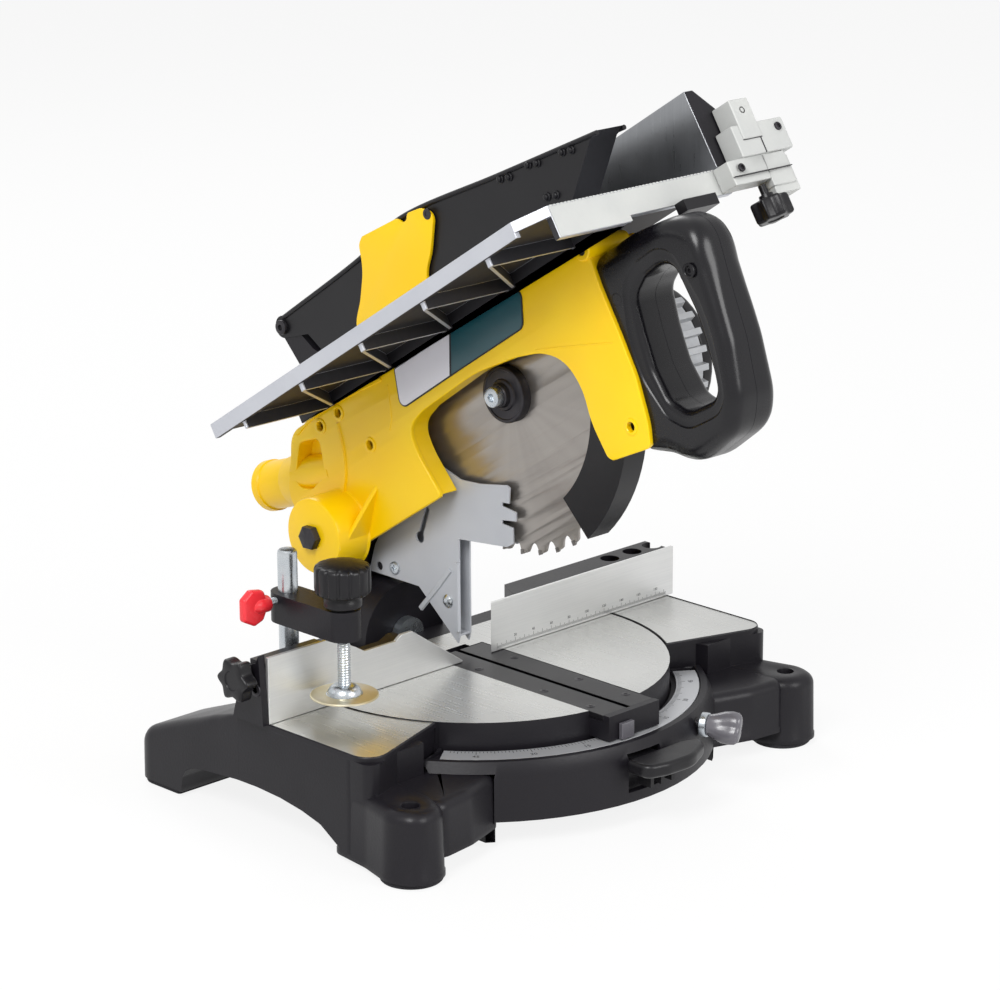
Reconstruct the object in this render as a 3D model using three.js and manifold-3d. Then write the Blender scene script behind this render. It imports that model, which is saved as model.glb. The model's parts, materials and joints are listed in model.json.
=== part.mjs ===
// A combination mitre saw: a turntable base with fences and a work clamp, and a
// tilting head that carries the blade, its motor, the handle and an upper table
// with a rip fence and a blade hood. Millimetres, +X to the operator's right,
// +Y to the back, +Z up. The group's origin is the middle of the footprint.
import * as THREE from "three";
import { mergeVertices } from "three/addons/utils/BufferGeometryUtils.js";
import Module from "manifold-3d";

const wasm = await Module();
wasm.setup();

// Driving sizes
const bladeDiameter = 250;
const tableHeight = 85;
const turntableDiameter = 296;
const baseHalfWidth = 215;
const headRaiseDegrees = 32.4;
const pivotBack = 124; // head pivot axis behind the fence line
const pivotHeight = 168.8;
const arborReach = 208.3; // arbor in front of the head pivot, head down
const arborRise = 27.9; // arbor above the head pivot, head down
const upperTableRise = 104; // upper table face above the head pivot, head down
const gap = 0.3; // running gap between faces that touch
const overrun = 2; // how far a cutter passes the faces that it cuts
const bladeRadius = bladeDiameter / 2;
const turntableRadius = turntableDiameter / 2;
const degree = Math.PI / 180;

// Colours and finishes
const finishes = {
  blackPaint: { color: 0x3a363c, roughness: 0.5, metalness: 0.1 },
  blackPlastic: { color: 0x2b2a30, roughness: 0.4, metalness: 0 },
  rubber: { color: 0x2a282a, roughness: 0.8, metalness: 0 },
  yellowPaint: { color: 0xffd400, roughness: 0.35, metalness: 0 },
  aluminium: { color: 0xd8d8d6, roughness: 0.4, metalness: 0.8 },
  whiteMetal: { color: 0xe9eae6, roughness: 0.5, metalness: 0.2 },
  silverPaint: { color: 0xaeb2bc, roughness: 0.45, metalness: 0.3 },
  steel: { color: 0xa9a29c, roughness: 0.35, metalness: 0.9 },
  zinc: { color: 0xc6cbce, roughness: 0.3, metalness: 0.9 },
  darkSteel: { color: 0x2e2c30, roughness: 0.4, metalness: 0.6 },
  red: { color: 0xf0303a, roughness: 0.4, metalness: 0 },
  smoke: { color: 0x6a686c, roughness: 0.3, metalness: 0 },
  label: { color: 0xe8e6ee, roughness: 0.5, metalness: 0 },
};

const materials = Object.fromEntries(
  Object.entries(finishes).map(([name, look]) => [
    name,
    new THREE.MeshStandardMaterial(look),
  ]),
);

// Solids

const weldDistance = 1e-3;

function toSolid(geometry) {
  const bare = geometry.index ? geometry.toNonIndexed() : geometry.clone();
  bare.deleteAttribute("normal");
  bare.deleteAttribute("uv");
  const merged = mergeVertices(bare, weldDistance);
  return new wasm.Manifold(
    new wasm.Mesh({
      numProp: 3,
      vertProperties: merged.attributes.position.array,
      triVerts: new Uint32Array(merged.index.array),
    }),
  );
}

function toGeometry(solid) {
  const { vertProperties, triVerts } = solid.getMesh();
  const geometry = new THREE.BufferGeometry();
  geometry.setAttribute(
    "position",
    new THREE.BufferAttribute(new Float32Array(vertProperties), 3),
  );
  geometry.setIndex(new THREE.BufferAttribute(new Uint32Array(triVerts), 1));
  const faceted = geometry.toNonIndexed();
  faceted.computeVertexNormals();
  return faceted;
}

const join = (first, ...rest) => rest.reduce((a, b) => a.add(b), first);
const cut = (first, ...rest) => rest.reduce((a, b) => a.subtract(b), first);

// Each axis has a matrix that lays a drawing in its plane: X draws (y, z), Y
// draws (x, z) and Z draws (x, y). The extrusion runs along the axis.
const planes = {
  x: new THREE.Matrix4().makeBasis(
    new THREE.Vector3(0, 1, 0),
    new THREE.Vector3(0, 0, 1),
    new THREE.Vector3(1, 0, 0),
  ),
  y: new THREE.Matrix4().makeBasis(
    new THREE.Vector3(1, 0, 0),
    new THREE.Vector3(0, 0, 1),
    new THREE.Vector3(0, -1, 0),
  ),
  z: new THREE.Matrix4(),
};

// A corner with a radius becomes an arc that touches both of its sides.
function rounded(points, radius = 0) {
  const count = points.length;
  const result = [];
  points.forEach(([u, v, own], i) => {
    const r = own ?? radius;
    const corner = new THREE.Vector2(u, v);
    if (r <= 0) {
      result.push(corner);
      return;
    }
    const before = new THREE.Vector2(...points[(i + count - 1) % count]).sub(corner);
    const after = new THREE.Vector2(...points[(i + 1) % count]).sub(corner);
    const half = Math.acos(
      THREE.MathUtils.clamp(
        before.dot(after) / before.length() / after.length(), -1, 1),
    ) / 2;
    const reach = Math.min(
      r / Math.tan(half), before.length() / 2, after.length() / 2);
    const start = before.setLength(reach).add(corner);
    const end = after.setLength(reach).add(corner);
    const steps = Math.max(1, Math.round((Math.PI / 2 - half) / (18 * degree)));
    for (let k = 0; k <= steps; k++) {
      const t = k / steps;
      const weight = Math.sin(half);
      const a = (1 - t) * (1 - t);
      const b = 2 * t * (1 - t) * weight;
      const c = t * t;
      result.push(
        new THREE.Vector2()
          .addScaledVector(start, a)
          .addScaledVector(corner, b)
          .addScaledVector(end, c)
          .divideScalar(a + b + c),
      );
    }
  });
  return result;
}

function circlePoints([u, v], radius, sides = 24, from = 0, to = 2 * Math.PI) {
  const whole = to - from >= 2 * Math.PI - weldDistance;
  const count = whole ? sides : sides + 1;
  return Array.from({ length: count }, (_, i) => {
    const angle = from + ((to - from) * i) / sides;
    return new THREE.Vector2(u + radius * Math.cos(angle), v + radius * Math.sin(angle));
  });
}

function lay(geometry, axis, from, to) {
  geometry.applyMatrix4(planes[axis]);
  if (axis === "x") geometry.translate(from, 0, 0);
  if (axis === "y") geometry.translate(0, to, 0);
  if (axis === "z") geometry.translate(0, 0, from);
  return geometry;
}

function asVectors(points) {
  return points[0].isVector2 ? points : rounded(points);
}

function prism(axis, points, from, to, holes = []) {
  const shape = new THREE.Shape(asVectors(points));
  shape.holes = holes.map((hole) => new THREE.Path(asVectors(hole)));
  const geometry = new THREE.ExtrudeGeometry(shape, {
    depth: to - from,
    bevelEnabled: false,
  });
  return toSolid(lay(geometry, axis, from, to));
}

// A prism whose edges are rounded by a radius, within its outline's own size.
function softPrism(axis, points, from, to, radius, holes = [], segments = 2) {
  const shape = new THREE.Shape(asVectors(points));
  shape.holes = holes.map((hole) => new THREE.Path(asVectors(hole)));
  const geometry = new THREE.ExtrudeGeometry(shape, {
    depth: to - from - 2 * radius,
    bevelEnabled: true,
    bevelThickness: radius,
    bevelSize: radius,
    bevelOffset: -radius,
    bevelSegments: segments,
  });
  const middle = axis === "y" ? -radius : radius;
  return toSolid(lay(geometry, axis, from + middle, to + middle));
}

const rod = (axis, centre, radius, from, to, sides = 24) =>
  prism(axis, circlePoints(centre, radius, sides), from, to);

const pipe = (axis, centre, outer, inner, from, to, sides = 24) =>
  prism(axis, circlePoints(centre, outer, sides), from, to, [
    circlePoints(centre, inner, sides),
  ]);

const block = (x0, x1, y0, y1, z0, z1) =>
  prism("z", [[x0, y0], [x1, y0], [x1, y1], [x0, y1]], z0, z1);

// A ring sector between two radii and two angles.
function sector(axis, centre, inner, outer, fromAngle, toAngle, from, to, steps = 12) {
  const outside = circlePoints(centre, outer, steps, fromAngle, toAngle);
  const inside = circlePoints(centre, inner, steps, fromAngle, toAngle).reverse();
  return prism(axis, [...outside, ...inside], from, to);
}

// A solid of revolution about a line along an axis; the profile holds
// (radius, distance along the axis) and closes on itself or on the axis.
function turned(axis, centre, profile, sides = 24) {
  const geometry = new THREE.LatheGeometry(
    profile.map(([r, h]) => new THREE.Vector2(r, h)),
    sides,
  );
  geometry.rotateX(Math.PI / 2);
  if (axis === "x") geometry.rotateY(Math.PI / 2);
  if (axis === "y") geometry.rotateX(-Math.PI / 2);
  const [u, v] = centre;
  if (axis === "x") geometry.translate(0, u, v);
  if (axis === "y") geometry.translate(u, 0, v);
  if (axis === "z") geometry.translate(u, v, 0);
  const solid = toSolid(geometry);
  return solid.volume() < 0 ? toSolid(flipped(geometry)) : solid;
}

function flipped(geometry) {
  const faces = geometry.index.array;
  for (let i = 0; i < faces.length; i += 3) {
    [faces[i + 1], faces[i + 2]] = [faces[i + 2], faces[i + 1]];
  }
  return geometry;
}

const scaled = (shares, u, v) =>
  shares.map(([a, b, radius]) =>
    radius === undefined ? [a * u, b * v] : [a * u, b * v, radius * v]);

const mirrored = (points) =>
  points.map(([u, v, radius]) => (radius === undefined ? [-u, v] : [-u, v, radius])).reverse();

function add(parent, name, solid, material) {
  const mesh = new THREE.Mesh(toGeometry(solid), materials[material]);
  mesh.name = name;
  parent.add(mesh);
  return mesh;
}

const saw = new THREE.Group();
const front = -Math.PI / 2; // direction of the front on a plan drawing
const back = Math.PI / 2;
const headTilt = -headRaiseDegrees * degree;
const arbor = [-arborReach, arborRise];
const deckLevel = tableHeight + gap; // where what stands on the deck begins

// Moves each side of an outline inwards by a wall.
function inset(points, wall) {
  const corners = points.map(([u, v]) => new THREE.Vector2(u, v));
  const turn = THREE.ShapeUtils.isClockWise(corners) ? -1 : 1;
  return corners.map((corner, i) => {
    const before = corners[(i + corners.length - 1) % corners.length];
    const after = corners[(i + 1) % corners.length];
    const into = corner.clone().sub(before).normalize();
    const out = after.clone().sub(corner).normalize();
    const bisector = new THREE.Vector2(-into.y - out.y, into.x + out.x).multiplyScalar(turn);
    const square = bisector.lengthSq() / 2;
    return corner.clone().addScaledVector(bisector, wall / square).toArray();
  });
}

// Base: a hollow casting on four feet, with a round well for the turntable
const base = {
  wall: 6,
  padHeight: 4,
  footHeight: 57,
  lobeInset: 12,
  lobeForward: 138,
  lobeRadius: 31,
  holeRadius: 6.5,
  holeBoss: 11,
  sideWidth: 65,
  skirtRadius: turntableRadius + 35,
  skirtBottom: 20,
  floorThickness: 8,
  wellClearance: 1.3,
  ledgeHeight: 4,
  lipInner: turntableRadius + 24,
  lipOuter: turntableRadius + 29,
  lipHeight: 7,
  lipSlope: 11,
  rearCut: 34,
  rearInner: 130,
  pitInner: 84,
  pitHalfAngle: 72 * degree,
  pitDepth: 17,
  sweepRadius: turntableRadius + 14,
  sweepDepth: 12,
  sweepPlay: 1,
  mitreReach: 45 * degree,
};
const floorTop = tableHeight - 27;
const wellRadius = turntableRadius + base.wellClearance;
const footX = baseHalfWidth - base.lobeInset;

const wingShares = [
  [0.581, -0.595], [1, -0.757, 0.081], [1, 0.23], [0.698, 0.23], [0.558, 0.23],
  [0.279, -0.27],
];
const neckShares = [
  [1, -0.585], [1, -0.797, 0.135], [0.93, -1.122, 0.068], [0.707, -1.007, 0.095],
  [0.549, -0.932], [0.549, -0.27],
];
const sideTopShares = [
  [-0.676, 1], [0.23, 1], [0.608, 0.776], [0.878, 0.6], [1.068, 0.447], [1.054, 0],
];
const sideArchShares = [
  [0.723, 0], [0.703, 0.329, 0.118], [0.507, 0.329], [0.236, 0.431, 0.706],
  [-0.135, 0.412, 0.706], [-0.365, 0.3, 0.353], [-0.581, 0], [-0.676, 0],
];

function baseSides() {
  const outers = [];
  const hollows = [];
  const below = -base.wall - overrun;
  const inner = baseHalfWidth - base.sideWidth;
  const sideTop = scaled(sideTopShares, turntableRadius, tableHeight);
  const sideHollow = inset(
    [...sideTop, [sideTop[0][0], below]].map(([u, v]) => [u, v === 0 ? below : v]),
    base.wall,
  );
  const sideOutline = [...sideTop, ...scaled(sideArchShares, turntableRadius, tableHeight)];
  for (const side of [-1, 1]) {
    const face = (shares) => {
      const points = scaled(shares, baseHalfWidth, turntableRadius);
      return side > 0 ? points : mirrored(points);
    };
    const plain = (points) => points.map(([u, v]) => [u, v]);
    const wing = face(wingShares);
    const neck = face(neckShares);
    const lobe = [side * footX, -base.lobeForward];
    const [x0, x1] = side > 0 ? [inner, baseHalfWidth] : [-baseHalfWidth, -inner];
    outers.push(
      prism("z", wing, base.footHeight - base.wall, tableHeight),
      prism("z", neck, 0, base.footHeight),
      rod("z", lobe, base.lobeRadius, 0, base.footHeight, 40),
      prism("x", sideOutline, x0, x1),
    );
    hollows.push(
      prism("z", inset(plain(wing), base.wall), below, tableHeight - base.wall),
      prism("z", inset(plain(neck), base.wall), below, base.footHeight - base.wall),
      cut(
        rod("z", lobe, base.lobeRadius - base.wall, below, base.footHeight - base.wall, 40),
        rod("z", lobe, base.holeBoss, below, base.footHeight),
      ),
      prism("x", sideHollow, x0 + base.wall, x1 - base.wall),
    );
  }
  return cut(join(...outers), ...hollows);
}

function baseWell() {
  const ledge = floorTop + base.ledgeHeight;
  const lip = floorTop + base.lipHeight;
  const under = floorTop - base.floorThickness;
  const inner = base.skirtRadius - base.wall;
  const body = turned("z", [0, 0], [
    [0, under], [inner, under], [inner, base.skirtBottom],
    [base.skirtRadius, base.skirtBottom], [base.skirtRadius, lip - base.lipSlope],
    [base.lipOuter, lip], [base.lipInner, lip], [base.lipInner, ledge], [0, ledge],
  ], 72);
  const pitFloor = floorTop - base.pitDepth;
  const reach = base.pitHalfAngle;
  const pitBottom = pitFloor - base.floorThickness;
  const shell = sector(
    "z", [0, 0], base.pitInner - base.wall, base.rearInner + base.wall,
    back - reach - base.wall / base.pitInner, back + reach + base.wall / base.pitInner,
    pitBottom, floorTop, 24);
  const pit = sector(
    "z", [0, 0], base.pitInner, base.rearInner, back - reach, back + reach,
    pitFloor, tableHeight, 24);
  return cut(join(body, shell), pit);
}

function baseCasting() {
  const rearTop = sector(
    "z", [0, 0], wellRadius - overrun, base.skirtRadius + overrun,
    0, Math.PI, floorTop, tableHeight, 24);
  const rearZone = block(
    -baseHalfWidth + base.sideWidth, baseHalfWidth - base.sideWidth,
    base.rearCut, base.skirtRadius + overrun, floorTop, tableHeight);
  const well = cut(baseWell(), rearTop.intersect(rearZone));
  const opening = detentOpening();
  return cut(
    join(baseSides(), well),
    rod("z", [0, 0], wellRadius, floorTop, tableHeight + overrun, 72),
    sector("z", [0, 0], base.pitInner, base.sweepRadius, back - base.pitHalfAngle,
      back + base.pitHalfAngle, tableHeight - base.sweepDepth, tableHeight + overrun, 24),
    rod("z", [0, 0], centreBolt.radius + gap, 0, floorTop + overrun),
    ...[-1, 1].map((side) =>
      rod("z", [side * footX, -base.lobeForward], base.holeRadius, -overrun,
        base.footHeight + overrun, 24)),
    block(-baseHalfWidth * 2, baseHalfWidth * 2, -baseHalfWidth * 2, baseHalfWidth * 2,
      -base.wall - overrun, base.padHeight),
    block(opening.left, opening.right, -base.skirtRadius - overrun,
      -base.skirtRadius + lever.openingDepth, opening.bottom, opening.top),
    mitreKnobBore(),
    tongueSweep(),
  );
}

// The space that the tongue of the turntable sweeps in front of the well
function tongueSweep() {
  const side = Math.asin((turntable.tongueHalf + base.sweepPlay) / turntableRadius);
  const reach = base.mitreReach + side;
  return sector("z", [0, 0], wellRadius - overrun, base.lipInner, front - reach, front + reach,
    floorTop + base.lipHeight, tableHeight + overrun, 32);
}

// Feet: a rubber ring under each front lobe and a pad under each rear leg
const pad = { inset: 1, holeRadius: 12, rearFrontShare: 0.723, rearBackShare: 1.054 };

function footPads() {
  const top = base.padHeight;
  const inner = baseHalfWidth - base.sideWidth + pad.inset;
  const outer = baseHalfWidth - pad.inset;
  for (const [side, word] of [[-1, "left"], [1, "right"]]) {
    const lobe = [side * footX, -base.lobeForward];
    add(saw, `foot_pad_front_${word}`,
      pipe("z", lobe, base.lobeRadius - pad.inset, pad.holeRadius, 0, top), "rubber");
    const [x0, x1] = side > 0 ? [inner, outer] : [-outer, -inner];
    add(saw, `foot_pad_rear_${word}`,
      block(x0, x1, turntableRadius * pad.rearFrontShare + pad.inset,
        turntableRadius * pad.rearBackShare - pad.inset, 0, top), "rubber");
  }
}

// Centre bolt: its head is under the floor, its end under the blade slot
const centreBolt = { radius: 8, headRadius: 14, headHeight: 7 };

function turntableBolt() {
  const under = floorTop - base.floorThickness - gap;
  return join(
    rod("z", [0, 0], centreBolt.headRadius, under - centreBolt.headHeight, under, 6),
    rod("z", [0, 0], centreBolt.radius, under - overrun, slotFloor() - gap),
  );
}

// Mitre scale: an arc of sheet on the ledge around the front of the well
const mitreArc = {
  inner: turntableRadius + 5,
  outer: base.lipInner - 1,
  thickness: 2.7,
  left: 54 * degree,
  right: 54 * degree,
};

function mitreScale() {
  const seat = floorTop + base.ledgeHeight;
  return sector("z", [0, 0], mitreArc.inner, mitreArc.outer, front - mitreArc.left,
    front + mitreArc.right, seat, seat + mitreArc.thickness, 32);
}

// Detent lever: a thumb pad in front of the skirt, hung on a barrel behind it
const lever = {
  barrelRadius: 6,
  barrelDrop: 8,
  barrelBack: 15,
  armLeft: -18,
  armRight: 8,
  armThickness: 8,
  play: 4,
  openingDepth: 33,
  openingBottom: 28,
  padThickness: 11,
  padRise: 0,
  finDepth: 22,
  finThickness: 4,
};
const padShares = [
  [-0.14, -1.277, 0.027], [-0.14, -1.432, 0.054], [0.047, -1.453, 0.054],
  [0.214, -1.291, 0.054], [0.14, -1.264],
];

function detentOpening() {
  return {
    left: lever.armLeft - lever.play,
    right: lever.armRight + lever.play,
    bottom: lever.openingBottom,
    top: floorTop,
  };
}

function detentLever() {
  const opening = detentOpening();
  const barrel = [-base.skirtRadius + lever.barrelBack, floorTop - lever.barrelDrop];
  const padTop = floorTop - lever.padRise;
  const padBottom = padTop - lever.padThickness;
  const armTop = barrel[1] + lever.armThickness / 2;
  const padFront = -base.skirtRadius - lever.play - overrun;
  const outline = scaled(padShares, baseHalfWidth, turntableRadius);
  return join(
    rod("x", barrel, lever.barrelRadius, opening.left + gap, opening.right - gap),
    block(lever.armLeft, lever.armRight, padFront - overrun, barrel[0],
      armTop - lever.armThickness, armTop),
    prism("z", outline, padBottom, padTop),
    ...[lever.armLeft, lever.armRight - lever.finThickness].map((x) =>
      block(x, x + lever.finThickness, padFront - lever.padThickness, padFront,
        padTop - lever.finDepth, padTop - lever.padThickness / 2)),
  );
}

// Mitre lock: a knob on a stud that runs through the lip towards the turntable
const mitreLock = {
  angle: 22 * degree,
  studRadius: 4,
  studInner: base.skirtRadius - 17,
  collarRadius: 9,
  collarInner: base.skirtRadius + 1,
  knobRadius: 13,
  knobInner: base.skirtRadius + 7,
  knobOuter: base.skirtRadius + 33,
  rise: 2,
};

function mitreKnobBore() {
  const bore = rod("y", [0, floorTop - mitreLock.rise], mitreLock.studRadius + gap,
    -base.skirtRadius - overrun, -mitreLock.studInner + overrun, 16);
  return bore.rotate([0, 0, mitreLock.angle / degree]);
}

function mitreLockKnob() {
  const centre = [0, floorTop - mitreLock.rise];
  const knob = turned("y", centre, [
    [0, -mitreLock.knobOuter], [mitreLock.knobRadius - overrun, -mitreLock.knobOuter],
    [mitreLock.knobRadius, -mitreLock.knobOuter + overrun],
    [mitreLock.knobRadius, -mitreLock.knobInner], [0, -mitreLock.knobInner],
  ], 24);
  return join(
    knob,
    rod("y", centre, mitreLock.collarRadius, -mitreLock.knobInner - overrun,
      -mitreLock.collarInner, 24),
    rod("y", centre, mitreLock.studRadius, -mitreLock.collarInner - overrun,
      -mitreLock.studInner, 16),
  );
}

// Fences: a bright face plate on a black body, one to each side of the blade
const fence = {
  faceThickness: 3,
  bodyLeftDepth: 20,
  bodyRightDepth: 26,
  buttressThickness: 6,
  rightStart: 13.5,
  rightHeight: 40.5,
  pocketRadius: 7.8,
  pocketDepth: 24,
  pocketY: 14,
  knobY: 15,
  knobRise: 36,
  endPlateShare: 0.8,
};
const fenceHeight = 52;
const pocketShares = [0.749, 0.87, 0.977];
const leftFaceShares = [
  [-1, 0], [-1, 0.994], [-0.707, 0.994], [-0.591, 0.744], [-0.553, 0.648],
  [-0.405, 0.648], [-0.377, 0.725], [-0.326, 0.725], [-0.079, 0.023], [-0.079, 0],
];
const leftBodyShares = [
  [-1, 0], [-1, 0.904], [-0.707, 0.904], [-0.605, 0.654], [-0.553, 0.558],
  [-0.405, 0.558], [-0.363, 0.635], [-0.335, 0.635], [-0.121, 0.023], [-0.121, 0],
];
const buttressShares = [
  [0, 0], [0.018, 1.033], [0.034, 0.912], [0.102, 0.796], [0.158, 0],
];
const rearChamferShare = 0.25;

function lift(points, level) {
  return points.map(([u, v]) => [u, v + level]);
}

function fenceLeft() {
  const outline = lift(scaled(leftBodyShares, baseHalfWidth, fenceHeight), deckLevel);
  const buttress = lift(scaled(buttressShares, baseHalfWidth, fenceHeight), deckLevel);
  const y0 = fence.faceThickness + gap;
  const left = -baseHalfWidth;
  const body = join(
    prism("y", outline, y0, fence.bodyLeftDepth),
    prism("x", buttress, left - fence.buttressThickness, left),
    block(left - overrun, left + fence.buttressThickness, y0, fence.bodyLeftDepth,
      deckLevel, deckLevel + fenceHeight * fence.endPlateShare),
    rod("z", column.centre, column.bossRadius, deckLevel, deckLevel + column.bossHeight),
    block(column.centre[0] - column.bossRadius, column.centre[0] + column.bossRadius,
      fence.bodyLeftDepth - overrun, column.centre[1], deckLevel,
      deckLevel + column.bossHeight),
  );
  const pocketFloor = deckLevel + column.floor;
  return cut(
    body,
    rod("z", column.centre, column.radius + gap, pocketFloor,
      deckLevel + fenceHeight * 2),
    rod("x", [fence.knobY, deckLevel + fence.knobRise], endKnob.studRadius + gap,
      left - fence.buttressThickness - overrun, left + endKnob.studDepth, 16),
  );
}

function fenceRight() {
  const y0 = fence.faceThickness + gap;
  const far = fence.bodyRightDepth;
  const top = deckLevel + fence.rightHeight;
  const x0 = fence.rightStart + far;
  const plan = [
    [x0 + overrun, y0], [baseHalfWidth, y0], [baseHalfWidth, far],
    [baseHalfWidth * rearChamferShare, far], [x0 + overrun, y0 + gap],
  ];
  return cut(
    prism("z", plan, deckLevel, top),
    ...pocketShares.map((share) =>
      rod("z", [baseHalfWidth * share, fence.pocketY], fence.pocketRadius,
        top - fence.pocketDepth, top + overrun, 24)),
  );
}

function fenceFaces() {
  const left = lift(scaled(leftFaceShares, baseHalfWidth, fenceHeight), deckLevel);
  add(saw, "fence_left_face", prism("y", left, 0, fence.faceThickness), "aluminium");
  const x0 = fence.rightStart;
  const x1 = baseHalfWidth + fence.buttressThickness;
  const right = [
    [x0, 0], [x1, 0], [x1, fence.faceThickness], [x0 + fence.faceThickness, fence.faceThickness],
  ];
  add(saw, "fence_right_face",
    prism("z", right, deckLevel, deckLevel + fence.rightHeight), "aluminium");
}

// End knob: a lobed knob at the left end of the fence
const endKnob = {
  radius: 17,
  thickness: 12,
  standOff: 5,
  studRadius: 3,
  studDepth: 8,
  lobes: 6,
  lobeShare: 0.1,
};

function lobedOutline(centre, radius, lobes, share, steps = 6) {
  return Array.from({ length: lobes * steps }, (_, i) => {
    const angle = (i / lobes / steps) * 2 * Math.PI;
    const r = radius * (1 - share + share * Math.cos(angle * lobes));
    return new THREE.Vector2(centre[0] + r * Math.cos(angle), centre[1] + r * Math.sin(angle));
  });
}

function fenceEndKnob() {
  const centre = [fence.knobY, deckLevel + fence.knobRise];
  const plate = -baseHalfWidth - fence.buttressThickness;
  const near = plate - endKnob.standOff;
  return join(
    prism("x", lobedOutline(centre, endKnob.radius, endKnob.lobes, endKnob.lobeShare),
      near - endKnob.thickness, near),
    rod("x", centre, endKnob.studRadius * 2, near - overrun, plate - gap, 16),
    rod("x", centre, endKnob.studRadius, near - overrun, plate + endKnob.studDepth, 16),
  );
}

// Work clamp: a column in the left fence, an arm that slides on it, and a screw
const column = {
  centre: [-164.5, 34],
  radius: 7.5,
  bossRadius: 14,
  bossHeight: 33,
  floor: 3,
  top: 202.4,
};
const clamp = {
  armBottom: 147,
  armTop: 170,
  armRadius: 13,
  screwY: -27,
  screwRadius: 5,
  screwBottom: 106,
  knobRadius: 21,
  knobBottom: 172,
  knobTop: 205,
  footRadius: 25.5,
  footBottom: 102,
  footThickness: 2.4,
  domeRadius: 15,
  domeHeight: 10,
  wingRise: 18,
  wingShank: 3,
  wingNeck: 23,
  wingHead: 46,
};

function clampArm() {
  const [x, y] = column.centre;
  const r = clamp.armRadius;
  const outline = [
    ...circlePoints([x, y], r, 12, 0, Math.PI),
    ...circlePoints([x, clamp.screwY], r, 12, Math.PI, 2 * Math.PI),
  ];
  return cut(
    prism("z", outline, clamp.armBottom, clamp.armTop),
    rod("z", [x, y], column.radius + gap, clamp.armBottom - overrun, clamp.armTop + overrun),
    rod("z", [x, clamp.screwY], clamp.screwRadius + gap, clamp.armBottom - overrun,
      clamp.armTop + overrun, 24),
    rod("x", [y, clamp.armBottom + clamp.wingRise], clamp.wingShank + gap,
      x - r - overrun, x, 16),
  );
}

function clampWingScrew() {
  const [x, y] = column.centre;
  const level = clamp.armBottom + clamp.wingRise;
  const neck = x - clamp.wingNeck;
  const head = x - clamp.wingHead;
  const middle = (neck + head) / 2;
  const half = (neck - head) / 2;
  const wing = [
    [head, level + half * 0.5], [head + half * 0.4, level + half], [neck, level + half * 1.2],
    [neck + half * 0.1, level - half * 1.1], [middle, level - half * 1.3], [head, level - half * 0.6],
  ];
  const thin = clamp.wingShank * 1.2;
  return join(
    prism("y", wing, y - thin, y + thin),
    rod("x", [y, level], clamp.wingShank, neck - half, x - column.radius - gap, 16),
    rod("x", [y, level], clamp.wingShank * 1.8, neck - half, neck + half * 0.4, 16),
  );
}

const clampAxis = [column.centre[0], clamp.screwY];

function clampScrew() {
  return rod("z", clampAxis, clamp.screwRadius, clamp.screwBottom,
    clamp.knobBottom + (clamp.knobTop - clamp.knobBottom) / 2, 24);
}

function clampKnob() {
  const { knobRadius: r, knobBottom: z0, knobTop: z1 } = clamp;
  const flutes = 12;
  const outline = lobedOutline(clampAxis, r, flutes, 0.05, 4);
  const body = prism("z", outline, z0 + (z1 - z0) * 0.3, z1);
  const neck = rod("z", clampAxis, r * 0.7, z0, z0 + (z1 - z0) * 0.35, 24);
  const bore = rod("z", clampAxis, clamp.screwRadius + gap, z0 - overrun,
    (z0 + z1) / 2 + gap, 24);
  return cut(join(body, neck), bore);
}

function clampFoot() {
  const z0 = clamp.footBottom;
  const z1 = z0 + clamp.footThickness;
  const top = z0 + clamp.domeHeight;
  const dome = turned("z", clampAxis, [
    [0, z0], [clamp.footRadius, z0], [clamp.footRadius, z1], [clamp.domeRadius, z1],
    [clamp.domeRadius * 0.8, (z1 + top) / 2], [clamp.domeRadius * 0.5, top], [0, top],
  ], 24);
  return cut(dome, rod("z", clampAxis, clamp.screwRadius + gap, clamp.screwBottom - gap,
    top + overrun, 24));
}

// Turntable: a disc with a tongue, split along its middle for the blade
const turntable = {
  skin: 8,
  rim: 6,
  hubRadius: 22,
  slotHalf: 14,
  slotFront: 158,
  slotBack: 30,
  slotFloorThickness: 3,
  tongueHalf: 27,
  tongueReach: 166,
  tongueDepth: 19.5,
  pocketDepth: 5,
  insertFront: 160,
  insertBack: 24,
  insertDrop: 0.2,
  insertThickness: 4.6,
  insertInner: 1.8,
  rearCut: 76,
  rearWall: 6,
  ribThickness: 5,
  ribDepth: 12,
};
const tilt = {
  discRadius: 42,
  boreRadius: 8.3,
  trunnionFront: 84,
  trunnionBack: 99.5,
  webHalf: 17,
};
const bevelAxis = [0, tableHeight];
const slotFloor = () => tableHeight - turntable.tongueDepth + turntable.slotFloorThickness;

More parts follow.
